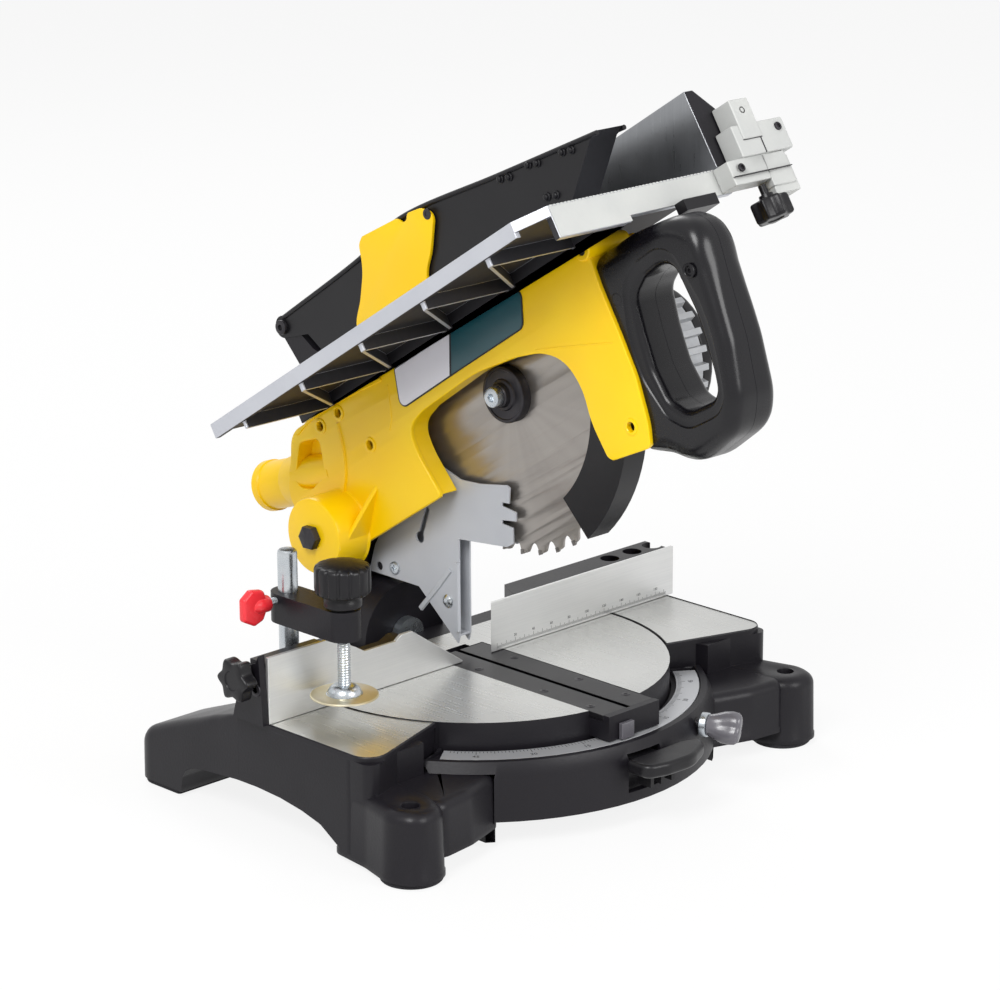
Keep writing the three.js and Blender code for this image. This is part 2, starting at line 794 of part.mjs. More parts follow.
function turntableBody() {
  const bottom = floorTop + gap;
  const top = tableHeight;
  const under = top - turntable.skin;
  const half = turntable.tongueHalf;
  const r = turntableRadius;
  const hollow = rod("z", [0, 0], r - turntable.rim, bottom - overrun, under, 48);
  const tongueBottom = top - turntable.tongueDepth;
  const tongue = block(-half, half, -turntable.tongueReach, 0, tongueBottom, top);
  const rearWallFront = turntable.rearCut - turntable.rearWall;
  const reach = Math.sqrt(r * r - turntable.rearCut * turntable.rearCut);
  const ribs = [-1, 1].map((side) =>
    block(side * half - turntable.ribThickness / 2, side * half + turntable.ribThickness / 2,
      -r + turntable.rim, rearWallFront + overrun, under - turntable.ribDepth, under + overrun));
  const disc = cut(
    join(cut(rod("z", [0, 0], r, bottom, top, 72), hollow), tongue,
      rod("z", [0, 0], turntable.hubRadius, bottom, under + overrun), ...ribs,
      block(-reach, reach, rearWallFront, turntable.rearCut, bottom, top)),
    block(-r * 2, r * 2, turntable.rearCut, r * 2, bottom - overrun, top + overrun),
  );
  return cut(
    join(disc, trunnion()),
    block(-turntable.slotHalf, turntable.slotHalf, -turntable.slotFront,
      turntable.slotBack, slotFloor(), top + overrun),
    block(-half - gap, half + gap, -turntable.insertFront - gap,
      turntable.insertBack + gap, top - turntable.pocketDepth, top + overrun),
    rod("z", [0, 0], centreBolt.radius + gap, bottom - overrun, slotFloor() + gap),
    rod("y", bevelAxis, tilt.boreRadius, turntable.rearCut, tilt.trunnionBack + overrun),
  );
}

function trunnion() {
  const { discRadius: r, trunnionFront: y0, trunnionBack: y1 } = tilt;
  const disc = rod("y", bevelAxis, r, y0, y1, 40);
  const start = turntable.rearCut - turntable.rearWall / 2;
  const bottom = floorTop + gap;
  const webs = [-1, 1].map((side) => {
    const [x0, x1] = side > 0 ? [tilt.webHalf, r - overrun] : [-r + overrun, -tilt.webHalf];
    return block(x0, x1, start, y0 + overrun, bottom, tableHeight - overrun);
  });
  const bed = block(-r + overrun, r - overrun, start, y0 + overrun, bottom,
    bottom + turntable.ribDepth - overrun);
  return join(disc, ...webs, bed);
}

function kerfInserts(parent) {
  const top = tableHeight - turntable.insertDrop;
  for (const [side, word] of [[-1, "left"], [1, "right"]]) {
    const thickness = turntable.insertThickness;
    const { insertInner: inner, tongueHalf: outer } = turntable;
    const section = [
      [inner, top], [outer, top], [outer, top - thickness], [inner + thickness, top - thickness],
    ];
    add(parent, `kerf_insert_${word}`,
      prism("y", side > 0 ? section : mirrored(section), -turntable.insertFront,
        turntable.insertBack), "blackPlastic");
  }
}

const pointer = { left: -17, right: -4, thickness: 3.7 };

function mitrePointer() {
  const y1 = -turntable.tongueReach - gap;
  return block(pointer.left, pointer.right, y1 - pointer.thickness, y1,
    tableHeight - turntable.tongueDepth, tableHeight - turntable.pocketDepth - overrun);
}

// Tilting frame: a disc on the trunnion, a riser, and the boss of the head pivot
const frame = {
  discBack: 112,
  riserHalf: 20,
  bossRadius: 18,
  bossLeft: -24.5,
  bossRight: 10,
  webHalf: 4.7,
  pivotRadius: 8,
  springInner: 10,
  springOuter: 16,
};
const riserShares = [
  [0.903, 0.367], [0.903, 0.735], [0.956, 0.758], [0.956, 0.889], [0.871, 0.948],
  [1.129, 0.948], [1.113, 0.592], [1.113, 0.438], [1, 0.367],
];
const webShares = [
  [0.484, 0.788], [0.532, 0.936], [0.871, 0.96], [0.984, 0.948], [0.984, 0.758],
];
const pivot = [pivotBack, pivotHeight];

function tiltBracket() {
  const riser = scaled(riserShares, pivotBack, pivotHeight);
  const web = scaled(webShares, pivotBack, pivotHeight);
  const depth = riser[6][0];
  return cut(
    join(
      rod("y", bevelAxis, tilt.discRadius, tilt.trunnionBack + gap, frame.discBack + overrun, 40),
      prism("x", riser, -frame.riserHalf, frame.riserHalf),
      rod("x", pivot, frame.bossRadius, frame.bossLeft, frame.bossRight),
      prism("x", web, -frame.webHalf, frame.webHalf),
    ),
    rod("y", bevelAxis, tilt.boreRadius, tilt.trunnionBack, depth + overrun),
    rod("x", pivot, frame.pivotRadius + gap, frame.bossLeft * 2, -frame.bossLeft * 2),
    rod("x", pivot, frame.bossRadius + overrun, frame.bossRight, -frame.bossLeft * 2),
  );
}

const bevelPinSize = { radius: 8, headRadius: 14, headThickness: 7, tail: 15 };

function bevelPin() {
  const head = tilt.trunnionFront - gap;
  const riserBack = riserShares[6][0] * pivotBack;
  return join(
    rod("y", bevelAxis, bevelPinSize.headRadius, head - bevelPinSize.headThickness, head, 24),
    rod("y", bevelAxis, bevelPinSize.radius, head - overrun, riserBack + bevelPinSize.tail, 24),
  );
}

const lockLever = {
  hubRadius: 14,
  thickness: 12,
  length: 55,
  angle: 35 * degree,
  armHalf: 4,
  endRadius: 8,
  endShare: 1.4,
};

function bevelLockLever() {
  const y0 = riserShares[6][0] * pivotBack + gap;
  const y1 = y0 + lockLever.thickness;
  const middle = (y0 + y1) / 2;
  const cosine = Math.cos(lockLever.angle);
  const sine = Math.sin(lockLever.angle);
  const place = (along, across) => [
    along * cosine - across * sine,
    tableHeight + along * sine + across * cosine,
  ];
  const arm = [
    place(0, -lockLever.armHalf), place(lockLever.length, -lockLever.armHalf),
    place(lockLever.length, lockLever.armHalf), place(0, lockLever.armHalf),
  ];
  const half = lockLever.armHalf;
  const endHalf = half * lockLever.endShare;
  return cut(
    join(
      rod("y", bevelAxis, lockLever.hubRadius, y0, y1, 24),
      prism("y", arm, middle - half, middle + half),
      rod("y", place(lockLever.length, 0), lockLever.endRadius, middle - endHalf,
        middle + endHalf, 24),
    ),
    rod("y", bevelAxis, tilt.boreRadius, y0 - overrun, y1 + overrun),
  );
}

// Blade plates: two sheets on the web of the tilting frame, with the blade
// running between them
const plates = {
  inner: 5,
  thickness: 1.5,
  slotTopShares: [0.395, 1.167],
  slotEndShares: [0.468, 1.013],
  slotHalf: 2.4,
  slotEndRadius: 4.5,
  holeShares: [0.847, 0.812],
  holeRadius: 3.5,
  footDepth: 9,
};
const plateShares = [
  [0.419, 1.416], [0.097, 1.345], [-0.073, 1.351], [-0.306, 1.38], [-0.335, 1.371],
  [-0.326, 1.297], [-0.266, 1.294], [-0.266, 1.277], [-0.387, 1.265],
  [-0.387, 1.223], [-0.266, 1.211], [-0.266, 1.194], [-0.359, 1.188],
  [-0.363, 1.114], [-0.306, 1.09], [0.117, 1.06], [0.117, 0.592], [0.133, 0.556],
  [0.484, 0.773], [0.944, 0.776], [0.887, 0.912], [0.581, 1.28],
];

function slotPoints([u0, v0], [u1, v1], half) {
  const along = new THREE.Vector2(u1 - u0, v1 - v0).setLength(half);
  return [
    [u0 - along.y, v0 + along.x], [u0 + along.y, v0 - along.x],
    [u1 + along.y, v1 - along.x], [u1 - along.y, v1 + along.x],
  ];
}

function bladePlate(side) {
  const at = ([u, v]) => [u * pivotBack, v * pivotHeight];
  const edges = [side * plates.inner, side * (plates.inner + plates.thickness)];
  const [x0, x1] = [Math.min(...edges), Math.max(...edges)];
  const outline = scaled(plateShares, pivotBack, pivotHeight);
  const top = at(plates.slotTopShares);
  const end = at(plates.slotEndShares);
  const sheet = cut(
    prism("x", outline, x0, x1),
    prism("x", slotPoints(top, end, plates.slotHalf), x0 - overrun, x1 + overrun),
    rod("x", end, plates.slotEndRadius, x0 - overrun, x1 + overrun, 16),
    rod("x", at(plates.holeShares), plates.holeRadius, x0 - overrun, x1 + overrun, 16),
  );
  if (side > 0) return sheet;
  const foot = outline[16];
  return join(
    sheet,
    block(x0, plates.inner - gap, foot[0], foot[0] + plates.footDepth, foot[1],
      foot[1] + plates.thickness),
  );
}

// Head casting: an open shell over the blade, with a leg in front of it, two
// cheeks at the pivot, a dust outlet and the seat of the motor
const head = {
  half: 28,
  wall: 3,
  rim: 4,
  bladeSlotHalf: 14,
  bladeClearance: 7,
  cheekRadius: 31,
  cheekHalf: 60,
  mouthFront: -114,
  mouthBack: 24,
  mouthDrop: 45,
  mouthLip: 7,
  tubeOuter: 21,
  tubeInner: 18,
  seatRadius: 64,
  seatThickness: 3,
  crossRadius: 8.5,
  crossRight: 14,
  crossBore: 4,
  holeRadius: 4,
  socketRadius: 9,
  socketBottom: 18,
};
const castingShares = [
  [-1.765, 0.846], [-1.749, 0.709], [-1.752, 0.524], [-1.749, 0.15],
  [-1.743, -0.154], [-1.709, -0.488], [-1.675, -0.635], [-1.525, -0.601],
  [-1.465, -0.577], [-1.455, -0.264], [-1.482, -0.035], [-1.453, 0.202],
  [-1.365, 0.34], [-1.224, 0.412], [-0.997, 0.472], [-0.667, 0.441],
  [-0.562, 0.389], [-0.557, 0.296], [-0.57, -0.179], [-0.084, -0.192], [0, -0.192],
  [0.134, -0.048], [0.242, 0.431], [0.134, 0.666], [0.094, 0.846],
];
const castingHoleShares = [
  [-0.105, 0.771], [-0.229, 0.781], [-0.327, 0.426], [-1.627, -0.445],
];
const crossShares = [-1.738, 0.788];
const tubeShares = [
  [0.144, 0.481], [0.466, 0.644],
];
const local = ([u, v]) => [u * arborReach, v * upperTableRise];
const castingOutline = () => scaled(castingShares, arborReach, upperTableRise);
const post = { radius: 6, bottom: 20, frontX: 18, rearX: 17, frontShare: -1.68, rearShare: -0.288 };
const posts = [
  ["front", [post.frontX, arborReach * post.frontShare]],
  ["rear", [post.rearX, arborReach * post.rearShare]],
];

// A round bar between two places in the plane of the head.
function barBetween([u0, v0], [u1, v1], radius, extra = 0) {
  const length = Math.hypot(u1 - u0, v1 - v0);
  const angle = Math.atan2(v1 - v0, u1 - u0);
  const bar = rod("y", [0, 0], radius, -extra, length + extra);
  return bar.rotate([angle / degree, 0, 0]).translate([0, u0, v0]);
}

function headCasting() {
  const outline = castingOutline();
  const casing = castingShares[0][1] * upperTableRise;
  const inner = head.half - head.wall;
  const tube = tubeShares.map(local);
  const cross = local(crossShares);
  const outer = join(
    prism("x", outline, -head.half, head.half),
    rod("x", [0, 0], head.cheekRadius, -head.cheekHalf, head.cheekHalf, 36),
    barBetween(...tube, head.tubeOuter),
  );
  const cavity = join(
    prism("x", inset(outline, head.rim), -inner, inner),
    rod("x", [0, 0], head.cheekRadius - head.rim, -inner, inner, 32),
    block(-inner, inner, head.mouthFront, head.mouthBack, -head.mouthDrop, 0),
    block(-inner, inner, 0, head.cheekRadius + overrun, -head.mouthDrop, -head.mouthLip),
  );
  const shell = join(
    cut(outer, cavity),
    rod("x", arbor, head.seatRadius, head.half - head.seatThickness, head.half, 40),
    ...posts.map(([, place]) =>
      rod("z", place, head.socketRadius, head.socketBottom, casing - head.rim / 2, 24)),
    rod("x", cross, head.crossRadius, -head.half, head.crossRight, 24),
  );
  return cut(
    shell,
    rod("x", arbor, bladeRadius + head.bladeClearance, -head.bladeSlotHalf,
      head.bladeSlotHalf, 48),
    rod("x", arbor, motor.noseRadius + gap, 0, head.half + overrun),
    barBetween(...tube, head.tubeInner, head.rim),
    rod("x", [0, 0], frame.pivotRadius + gap, -head.cheekHalf - overrun,
      head.cheekHalf + overrun),
    rod("x", cross, head.crossBore, -head.half - overrun, -head.half / 2, 16),
    ...castingHoleShares.map((place) =>
      rod("x", local(place), head.holeRadius, -head.half - overrun, -inner + overrun, 16)),
    ...posts.map(([, place]) =>
      rod("z", place, post.radius + gap, head.socketBottom - overrun, casing + overrun, 24)),
  );
}

// Head pivot bolt and the spring that lifts the head
const pivotBoltSize = { headRadius: 10, headThickness: 6 };

function headPivotBolt() {
  const seat = head.cheekHalf + gap;
  const end = seat + pivotBoltSize.headThickness;
  return join(
    rod("x", [0, 0], frame.pivotRadius, -seat - overrun, seat + overrun, 24),
    rod("x", [0, 0], pivotBoltSize.headRadius, -end, -seat, 6),
    rod("x", [0, 0], pivotBoltSize.headRadius, seat, end, 6),
  );
}

function returnSpring() {
  return pipe("x", pivot, frame.springOuter, frame.springInner, frame.bossRight + gap,
    head.half - head.wall - gap);
}

// Motor: a finned housing with a nose that carries the blade shaft's bearing
const motor = {
  noseRadius: 26,
  noseStart: 9,
  lip: 3,
  bodyRadius: 58,
  finRadius: 64,
  finCount: 28,
  finShare: 0.4,
  wall: 6,
  length: 122,
  bearingOuter: 20,
  bearingInner: 8.3,
  bearingWidth: 12,
  statorInner: 45,
  rotorRadius: 44,
  coreInset: 14,
  capThickness: 16,
  capCrown: 52,
  tailBore: 9,
};
const motorStart = head.half + gap;
const motorEnd = motorStart + motor.length;

function finnedOutline(centre) {
  const points = [];
  const pitch = (2 * Math.PI) / motor.finCount;
  for (let i = 0; i < motor.finCount; i++) {
    const start = i * pitch;
    for (const [radius, share] of [
      [motor.bodyRadius, 0], [motor.finRadius, 0.05],
      [motor.finRadius, motor.finShare], [motor.bodyRadius, motor.finShare + 0.05],
    ]) {
      const angle = start + share * pitch;
      points.push(new THREE.Vector2(
        centre[0] + radius * Math.cos(angle), centre[1] + radius * Math.sin(angle)));
    }
  }
  return points;
}

function motorHousing() {
  const nose = rod("x", arbor, motor.noseRadius, motor.noseStart, motorStart + overrun);
  const body = prism("x", finnedOutline(arbor), motorStart, motorEnd);
  const bearingSeat = motor.noseStart + motor.lip;
  return cut(
    join(nose, body),
    rod("x", arbor, motor.bearingOuter + gap, bearingSeat, motorStart + motor.wall + overrun),
    rod("x", arbor, motor.bearingOuter / 2, 0, bearingSeat + overrun),
    rod("x", arbor, motor.bodyRadius - motor.wall, motorStart + motor.wall,
      motorEnd + overrun, 40),
  );
}

function motorEndCover() {
  const start = motorEnd + gap;
  const end = start + motor.capThickness;
  const inner = motor.tailBore;
  return turned("x", arbor, [
    [inner, end], [motor.capCrown, end], [motor.bodyRadius, end - motor.wall],
    [motor.bodyRadius, start], [motor.bodyRadius - motor.wall, start],
    [motor.bodyRadius - motor.wall, end - motor.wall], [inner, end - motor.wall], [inner, end],
  ], 40);
}

function motorStator() {
  return pipe("x", arbor, motor.bodyRadius - motor.wall - gap, motor.statorInner,
    motorStart + motor.coreInset, motorEnd - motor.coreInset, 32);
}

function motorRotor() {
  return pipe("x", arbor, motor.rotorRadius, shaft.radius + gap,
    motorStart + motor.coreInset, motorEnd - motor.coreInset, 32);
}

function arborBearing() {
  const start = motor.noseStart + motor.lip + gap;
  return pipe("x", arbor, motor.bearingOuter, motor.bearingInner, start,
    start + motor.bearingWidth);
}

// Blade, its shaft, and what clamps it
const shaft = { radius: 8, front: -8, boltRadius: 4, boltReach: 20 };
const flange = { radius: 22, rightEnd: 7, leftEnd: 9, noseRadius: 9, noseEnd: 15 };
const arborBoltSize = { headRadius: 8, headEnd: 21.5 };
const blade = { halfThickness: 0.9, teeth: 40, gulletDepth: 8.5 };
const toothShares = [[0, 1], [0.05, 0.3], [0.22, 0], [0.45, 0.1], [0.62, 0.78], [0.85, 0.92]];

function arborShaft() {
  const end = motorEnd + motor.capThickness - overrun;
  return cut(
    rod("x", arbor, shaft.radius, shaft.front, end, 24),
    rod("x", arbor, shaft.boltRadius + gap, shaft.front - overrun,
      shaft.boltReach + overrun, 16),
  );
}

function sawBlade() {
  const pitch = (2 * Math.PI) / blade.teeth;
  const outline = [];
  for (let i = 0; i < blade.teeth; i++) {
    for (const [turn, height] of toothShares) {
      const radius = bladeRadius - blade.gulletDepth * (1 - height);
      const angle = (i + turn) * pitch;
      outline.push(new THREE.Vector2(
        arbor[0] + radius * Math.cos(angle), arbor[1] + radius * Math.sin(angle)));
    }
  }
  return prism("x", outline, -blade.halfThickness, blade.halfThickness, [
    circlePoints(arbor, shaft.radius + gap, 24),
  ]);
}

function innerFlange() {
  return pipe("x", arbor, flange.radius, shaft.radius + gap,
    blade.halfThickness + gap, flange.rightEnd);
}

function outerFlange() {
  return cut(
    join(
      rod("x", arbor, flange.radius, -flange.leftEnd, -blade.halfThickness - gap),
      rod("x", arbor, flange.noseRadius, -flange.noseEnd, -flange.leftEnd + overrun, 24),
    ),
    rod("x", arbor, shaft.radius + gap, shaft.front - gap, 0, 24),
    rod("x", arbor, shaft.boltRadius + gap, -flange.noseEnd - overrun, 0, 16),
  );
}

function arborBolt() {
  return join(
    rod("x", arbor, arborBoltSize.headRadius, -arborBoltSize.headEnd, -flange.noseEnd - gap, 6),
    rod("x", arbor, shaft.boltRadius, -flange.noseEnd - overrun, shaft.boltReach, 16),
  );
}

// Moving blade guard: a crescent over the front of the blade, on a ring that
// turns about the motor's nose
const guard = {
  inner: 93.3,
  clearance: 3.5,
  rim: 1.5,
  wallInner: 9.5,
  wallOuter: 11,
  start: 200 * degree,
  end: 258 * degree,
  hubOuter: 34,
  webStart: 205 * degree,
  webEnd: 236 * degree,
};

function lowerGuard() {
  const rimInner = bladeRadius + guard.clearance;
  const rimOuter = rimInner + guard.rim;
  const arc = (inner, outer, from, to, x0, x1) =>
    sector("x", arbor, inner, outer, from, to, x0, x1, 14);
  const { wallInner: near, wallOuter: far, start, end } = guard;
  return join(
    arc(rimInner, rimOuter, start, end, -far, far),
    arc(guard.inner, rimOuter, start, end, near, far),
    arc(guard.inner, rimOuter, start, end, -far, -near),
    arc(guard.hubOuter - overrun, guard.inner + overrun, guard.webStart, guard.webEnd, near, far),
    pipe("x", arbor, guard.hubOuter, motor.noseRadius + gap, near, far, 32),
  );
}

// Handle: a closed grip in two halves on the front of the casting
const handle = {
  half: 24,
  edge: 8,
  switchHalf: 12,
  switchShares: [-2.04, -1.896, 0.48, 0.655],
  slotHalf: 8,
  pinRadius: 2,
  pinHalf: 18,
};
const handleShares = [
  [-1.709, 0.769], [-1.92, 0.75, 0.135], [-2.151, 0.692, 0.192],
  [-2.223, 0.577, 0.154], [-2.232, 0.442, 0.135], [-2.199, 0.096, 0.577],
  [-2.17, -0.26, 0.577], [-2.112, -0.635, 0.288], [-2.036, -0.827, 0.231],
  [-1.805, -0.885, 0.288], [-1.719, -0.731, 0.135], [-1.656, -0.577],
  [-1.632, 0.096],
];
const gripShares = [
  [-2.069, 0.452, 0.115], [-1.93, 0.423, 0.135], [-1.853, 0.346, 0.135],
  [-1.824, 0.096, 0.288], [-1.805, -0.154, 0.192], [-1.815, -0.404, 0.135],
  [-1.872, -0.538, 0.135], [-2.036, -0.558, 0.135], [-2.055, -0.365, 0.135],
  [-2.074, -0.048, 0.385],
];
const triggerShares = [
  [-2.069, 0.433], [-2.045, 0.346], [-2.05, 0.202], [-2.045, 0.115],
  [-2.098, 0.067], [-2.146, 0.087], [-2.156, 0.288], [-2.117, 0.404],
];
const triggerSlotShares = [
  [-2.103, 0.49], [-2.016, 0.452], [-2.016, 0.058], [-2.112, 0.029], [-2.17, 0.048],
  [-2.18, 0.308], [-2.151, 0.462],
];
const triggerPinShares = [-2.127, 0.293];

function handleBody() {
  const reach = scaled(handleShares, arborReach, upperTableRise);
  const grip = scaled(gripShares, arborReach, upperTableRise);
  const cross = local(crossShares);
  const [y0, y1, z0, z1] = handle.switchShares;
  const far = head.half * 2;
  return cut(
    softPrism("x", rounded(reach), -handle.half, handle.half, handle.edge, [rounded(grip)]),
    prism("x", inset(castingOutline(), -gap), -far, far),
    rod("x", cross, head.crossRadius + gap, -far, far, 24),
    block(-handle.switchHalf - gap, handle.switchHalf + gap, y0 * arborReach - gap,
      y1 * arborReach + gap, z0 * upperTableRise - gap, z1 * upperTableRise + gap),
    prism("x", scaled(triggerSlotShares, arborReach, upperTableRise),
      -handle.slotHalf - gap, handle.slotHalf + gap),
    rod("x", local(triggerPinShares), handle.pinRadius + gap, -handle.pinHalf - gap,
      handle.pinHalf + gap, 16),
  );
}

function handleHalves(parent) {
  const body = handleBody();
  const far = arborReach * 3;
  for (const [side, word] of [[-1, "left"], [1, "right"]]) {
    const edge = (side * gap) / 2;
    const [x0, x1] = side > 0 ? [-far, edge] : [edge, far];
    add(parent, `handle_${word}`, cut(body, block(x0, x1, -far, far, -far, far)), "blackPlastic");
  }
}

function switchBox() {
  const [y0, y1, z0, z1] = handle.switchShares;
  return block(-handle.switchHalf, handle.switchHalf, y0 * arborReach, y1 * arborReach,
    z0 * upperTableRise, z1 * upperTableRise);
}

function trigger() {
  return cut(
    prism("x", scaled(triggerShares, arborReach, upperTableRise), -handle.slotHalf, handle.slotHalf),
    rod("x", local(triggerPinShares), handle.pinRadius + gap, -handle.pinHalf, handle.pinHalf, 16),
  );
}

function triggerPin() {
  return rod("x", local(triggerPinShares), handle.pinRadius, -handle.pinHalf, handle.pinHalf, 16);
}

// Label: a bare plate on the left of the casting
const label = { thickness: 0.5 };
const labelShares = [
  [-0.617, 0.827], [-1.368, 0.832], [-1.39, 0.779], [-1.33, 0.558, 0.058],
  [-0.927, 0.546], [-0.562, 0.529, 0.058],
];

function labelPlate() {
  const face = -head.half - gap;
  return prism("x", scaled(labelShares, arborReach, upperTableRise), face - label.thickness, face);
}

// Upper table: a ribbed plate on two posts, with a slot for the blade
const upper = {
  left: -123,
  right: 74,
  frontEdge: -426,
  backEdge: -12.8,
  plate: 8,
  band: 12,
  bandWidth: 5,
  ribBottom: 74,
  ribThickness: 3,
  ribRight: -34,
  apronThickness: 6,
  apronLeftBottom: 79.5,
  apronRightBottom: 84,
  slotHalf: 4,
  slotPlay: 10,
  bossRadius: 10,
  bossBottom: 91,
  latchBoss: 7,
  leanShare: 1.4,
  cornerWidth: 17,
  cornerDepth: 23,
};
const ribShares = [-0.24, -0.62, -1.0, -1.38, -1.76];
const latch = {
  place: [38, -417],
  studRadius: 3,
  hubRadius: 7,
  thickness: 8.5,
  padLeft: 8,
  padRight: 42,
  padBack: -430,
  padFront: -440,
  neckShare: 0.8,
};

function upperTable() {
  const top = upperTableRise;
  const under = top - upper.plate;
  const { left, right, frontEdge, backEdge } = upper;
  const outline = [
    [left, backEdge], [left, frontEdge + upper.cornerDepth], [left + upper.cornerWidth, frontEdge],
    [right, frontEdge], [right, backEdge],
  ];
  const bandBottom = top - upper.band;
  const step = ribShares[0] - ribShares[1];
  const ribs = ribShares.flatMap((share) => {
    const y = share * arborReach;
    const next = (share + step) * arborReach;
    const t = upper.ribThickness;
    const rightEnd = upper.ribRight;
    const lean = [
      [left + t, y], [left + t, y + t * upper.leanShare], [rightEnd, next],
      [rightEnd, next - t * upper.leanShare],
    ];
    const cross = block(left + t, rightEnd, y, y + t, upper.ribBottom + upper.band, under + overrun);
    return share === ribShares[0]
      ? [cross]
      : [cross, prism("z", lean, upper.ribBottom + upper.band, under + overrun)];
  });
  const chord = Math.sqrt(bladeRadius ** 2 - (top - arborRise) ** 2) + upper.slotPlay;
  return cut(
    join(
      prism("z", outline, under, top),
      block(left, left + upper.bandWidth, frontEdge + upper.cornerDepth, backEdge, bandBottom, top),
      block(upper.ribRight - upper.ribThickness, upper.ribRight, frontEdge + overrun, backEdge,
        upper.ribBottom, under + overrun),
      block(left + upper.cornerWidth, upper.ribRight, frontEdge, frontEdge + upper.apronThickness,
        upper.apronLeftBottom, top),
      block(upper.ribRight - overrun, right, frontEdge, frontEdge + upper.apronThickness,
        upper.apronRightBottom, top),
      ...ribs,
      ...posts.map(([, place]) =>
        rod("z", place, upper.bossRadius, upper.bossBottom, under + overrun, 24)),
      rod("z", latch.place, upper.latchBoss, upper.apronRightBottom, under + overrun, 24),
      block(latch.place[0] - upper.latchBoss, latch.place[0] + upper.latchBoss,
        frontEdge + overrun, latch.place[1], upper.apronRightBottom, under + overrun),
    ),
    block(-upper.slotHalf, upper.slotHalf, arbor[0] - chord, arbor[0] + chord,
      upper.ribBottom, top + overrun),
    ...posts.map(([, place]) =>
      rod("z", place, post.radius + gap, upper.bossBottom - overrun, under, 24)),
    rod("z", latch.place, latch.studRadius + gap, upper.apronRightBottom - overrun, under, 16),
  );
}

function tableLatch() {
  const top = upper.apronRightBottom - gap;
  const [x, y] = latch.place;
  const bottom = top - latch.thickness;
  const stud = upperTableRise - upper.plate - gap;
  const plan = [
    [x - latch.hubRadius, y], [latch.padLeft, latch.padBack], [latch.padLeft, latch.padFront],
    [latch.padRight, latch.padFront], [x + latch.hubRadius * latch.neckShare, y],
  ];
  return join(
    rod("z", latch.place, latch.hubRadius, bottom, top, 24),
    prism("z", plan, bottom, top),
    rod("z", latch.place, latch.studRadius, top - overrun, stud, 16),
  );
}

// Hood over the blade above the upper table, its bracket, bolt and side plate
const hood = { half: 14, wall: 2, boltRadius: 3, eyeRadius: 9, topEnd: -22, rearShare: 1.45 };
const hoodBoltShares = [-0.0446, 1.609];
const hoodShares = [
  [-0.045, 1.522], [-0.163, 1.452], [-0.202, 1.288], [-0.288, 1.154],
  [-0.48, 1.043], [-1.656, 1.043], [-1.741, 1.196], [-1.919, 1.462], [-1.969, 1.49],
  [-0.902, 1.8], [-0.59, 1.717], [-0.065, 1.683],
];
const bracketShares = [
  [-0.288, 1.003], [-0.067, 1.003], [-0.014, 1.538], [-0.077, 1.635],
  [-0.144, 1.346],
];
const sidePlateShares = [
  [-0.672, 1.827], [-0.883, 1.788], [-0.912, 1.731], [-0.946, 1.769],
  [-1.018, 1.75], [-1.078, 1.663], [-0.984, 1.433], [-0.9, 1.294], [-0.9, 1.003],
  [-0.444, 1.003], [-0.444, 1.283], [-0.528, 1.423], [-0.61, 1.615],
  [-0.656, 1.803],
];
const sidePlate = { inner: 15, thickness: 3, flange: 9, flangeThickness: 2.5 };

function hoodShell() {
  const outline = scaled(hoodShares, arborReach, upperTableRise);
  const bolt = local(hoodBoltShares);
  const inner = hood.half - hood.wall;
  const eye = (from, to, radius) => rod("x", bolt, radius, from, to, 24);
  const floor = outline.map(([u, v], i) => [u, i <= 5 ? v - upperTableRise / 2 : v]);
  const cavity = join(
    prism("x", inset(floor, hood.wall), -inner, inner),
    block(-inner, inner, hood.topEnd, arborReach, upperTableRise / 2, upperTableRise * 2),
    block(-inner, inner, outline[4][0], hood.topEnd + overrun, upperTableRise / 2,
      upperTableRise * hood.rearShare),
  );
  return cut(
    join(prism("x", outline, -hood.half, hood.half), eye(-hood.half, hood.half, hood.eyeRadius)),
    cavity,
    eye(-hood.half * 2, hood.half * 2, hood.boltRadius + gap),
  );
}

function hoodBracket() {
  const bolt = local(hoodBoltShares);
  const half = hood.half - hood.wall - gap;
  return cut(
    join(
      prism("x", scaled(bracketShares, arborReach, upperTableRise), -half, half),
      rod("x", bolt, hood.eyeRadius - hood.wall, -half, half, 24),
    ),
    rod("x", bolt, hood.boltRadius + gap, -half - overrun, half + overrun, 16),
  );
}

function hoodBolt() {
  const bolt = local(hoodBoltShares);
  const end = hood.half + gap;
  const headRadius = hood.boltRadius * 2;
  return join(
    rod("x", bolt, hood.boltRadius, -end - overrun, end + overrun, 16),
    rod("x", bolt, headRadius, -end - hood.boltRadius, -end, 6),
    rod("x", bolt, headRadius, end, end + hood.boltRadius, 6),
  );
}

function guardSidePlate() {
  const outline = scaled(sidePlateShares, arborReach, upperTableRise);
  const x1 = -sidePlate.inner;
  const x0 = x1 - sidePlate.thickness;
  const [front0, back0] = [outline[8][0], outline[9][0]];
  const seat = outline[8][1];
  return join(
    prism("x", outline, x0, x1),
    block(x0 - sidePlate.flange, x1, front0, back0, seat, seat + sidePlate.flangeThickness),
  );
}

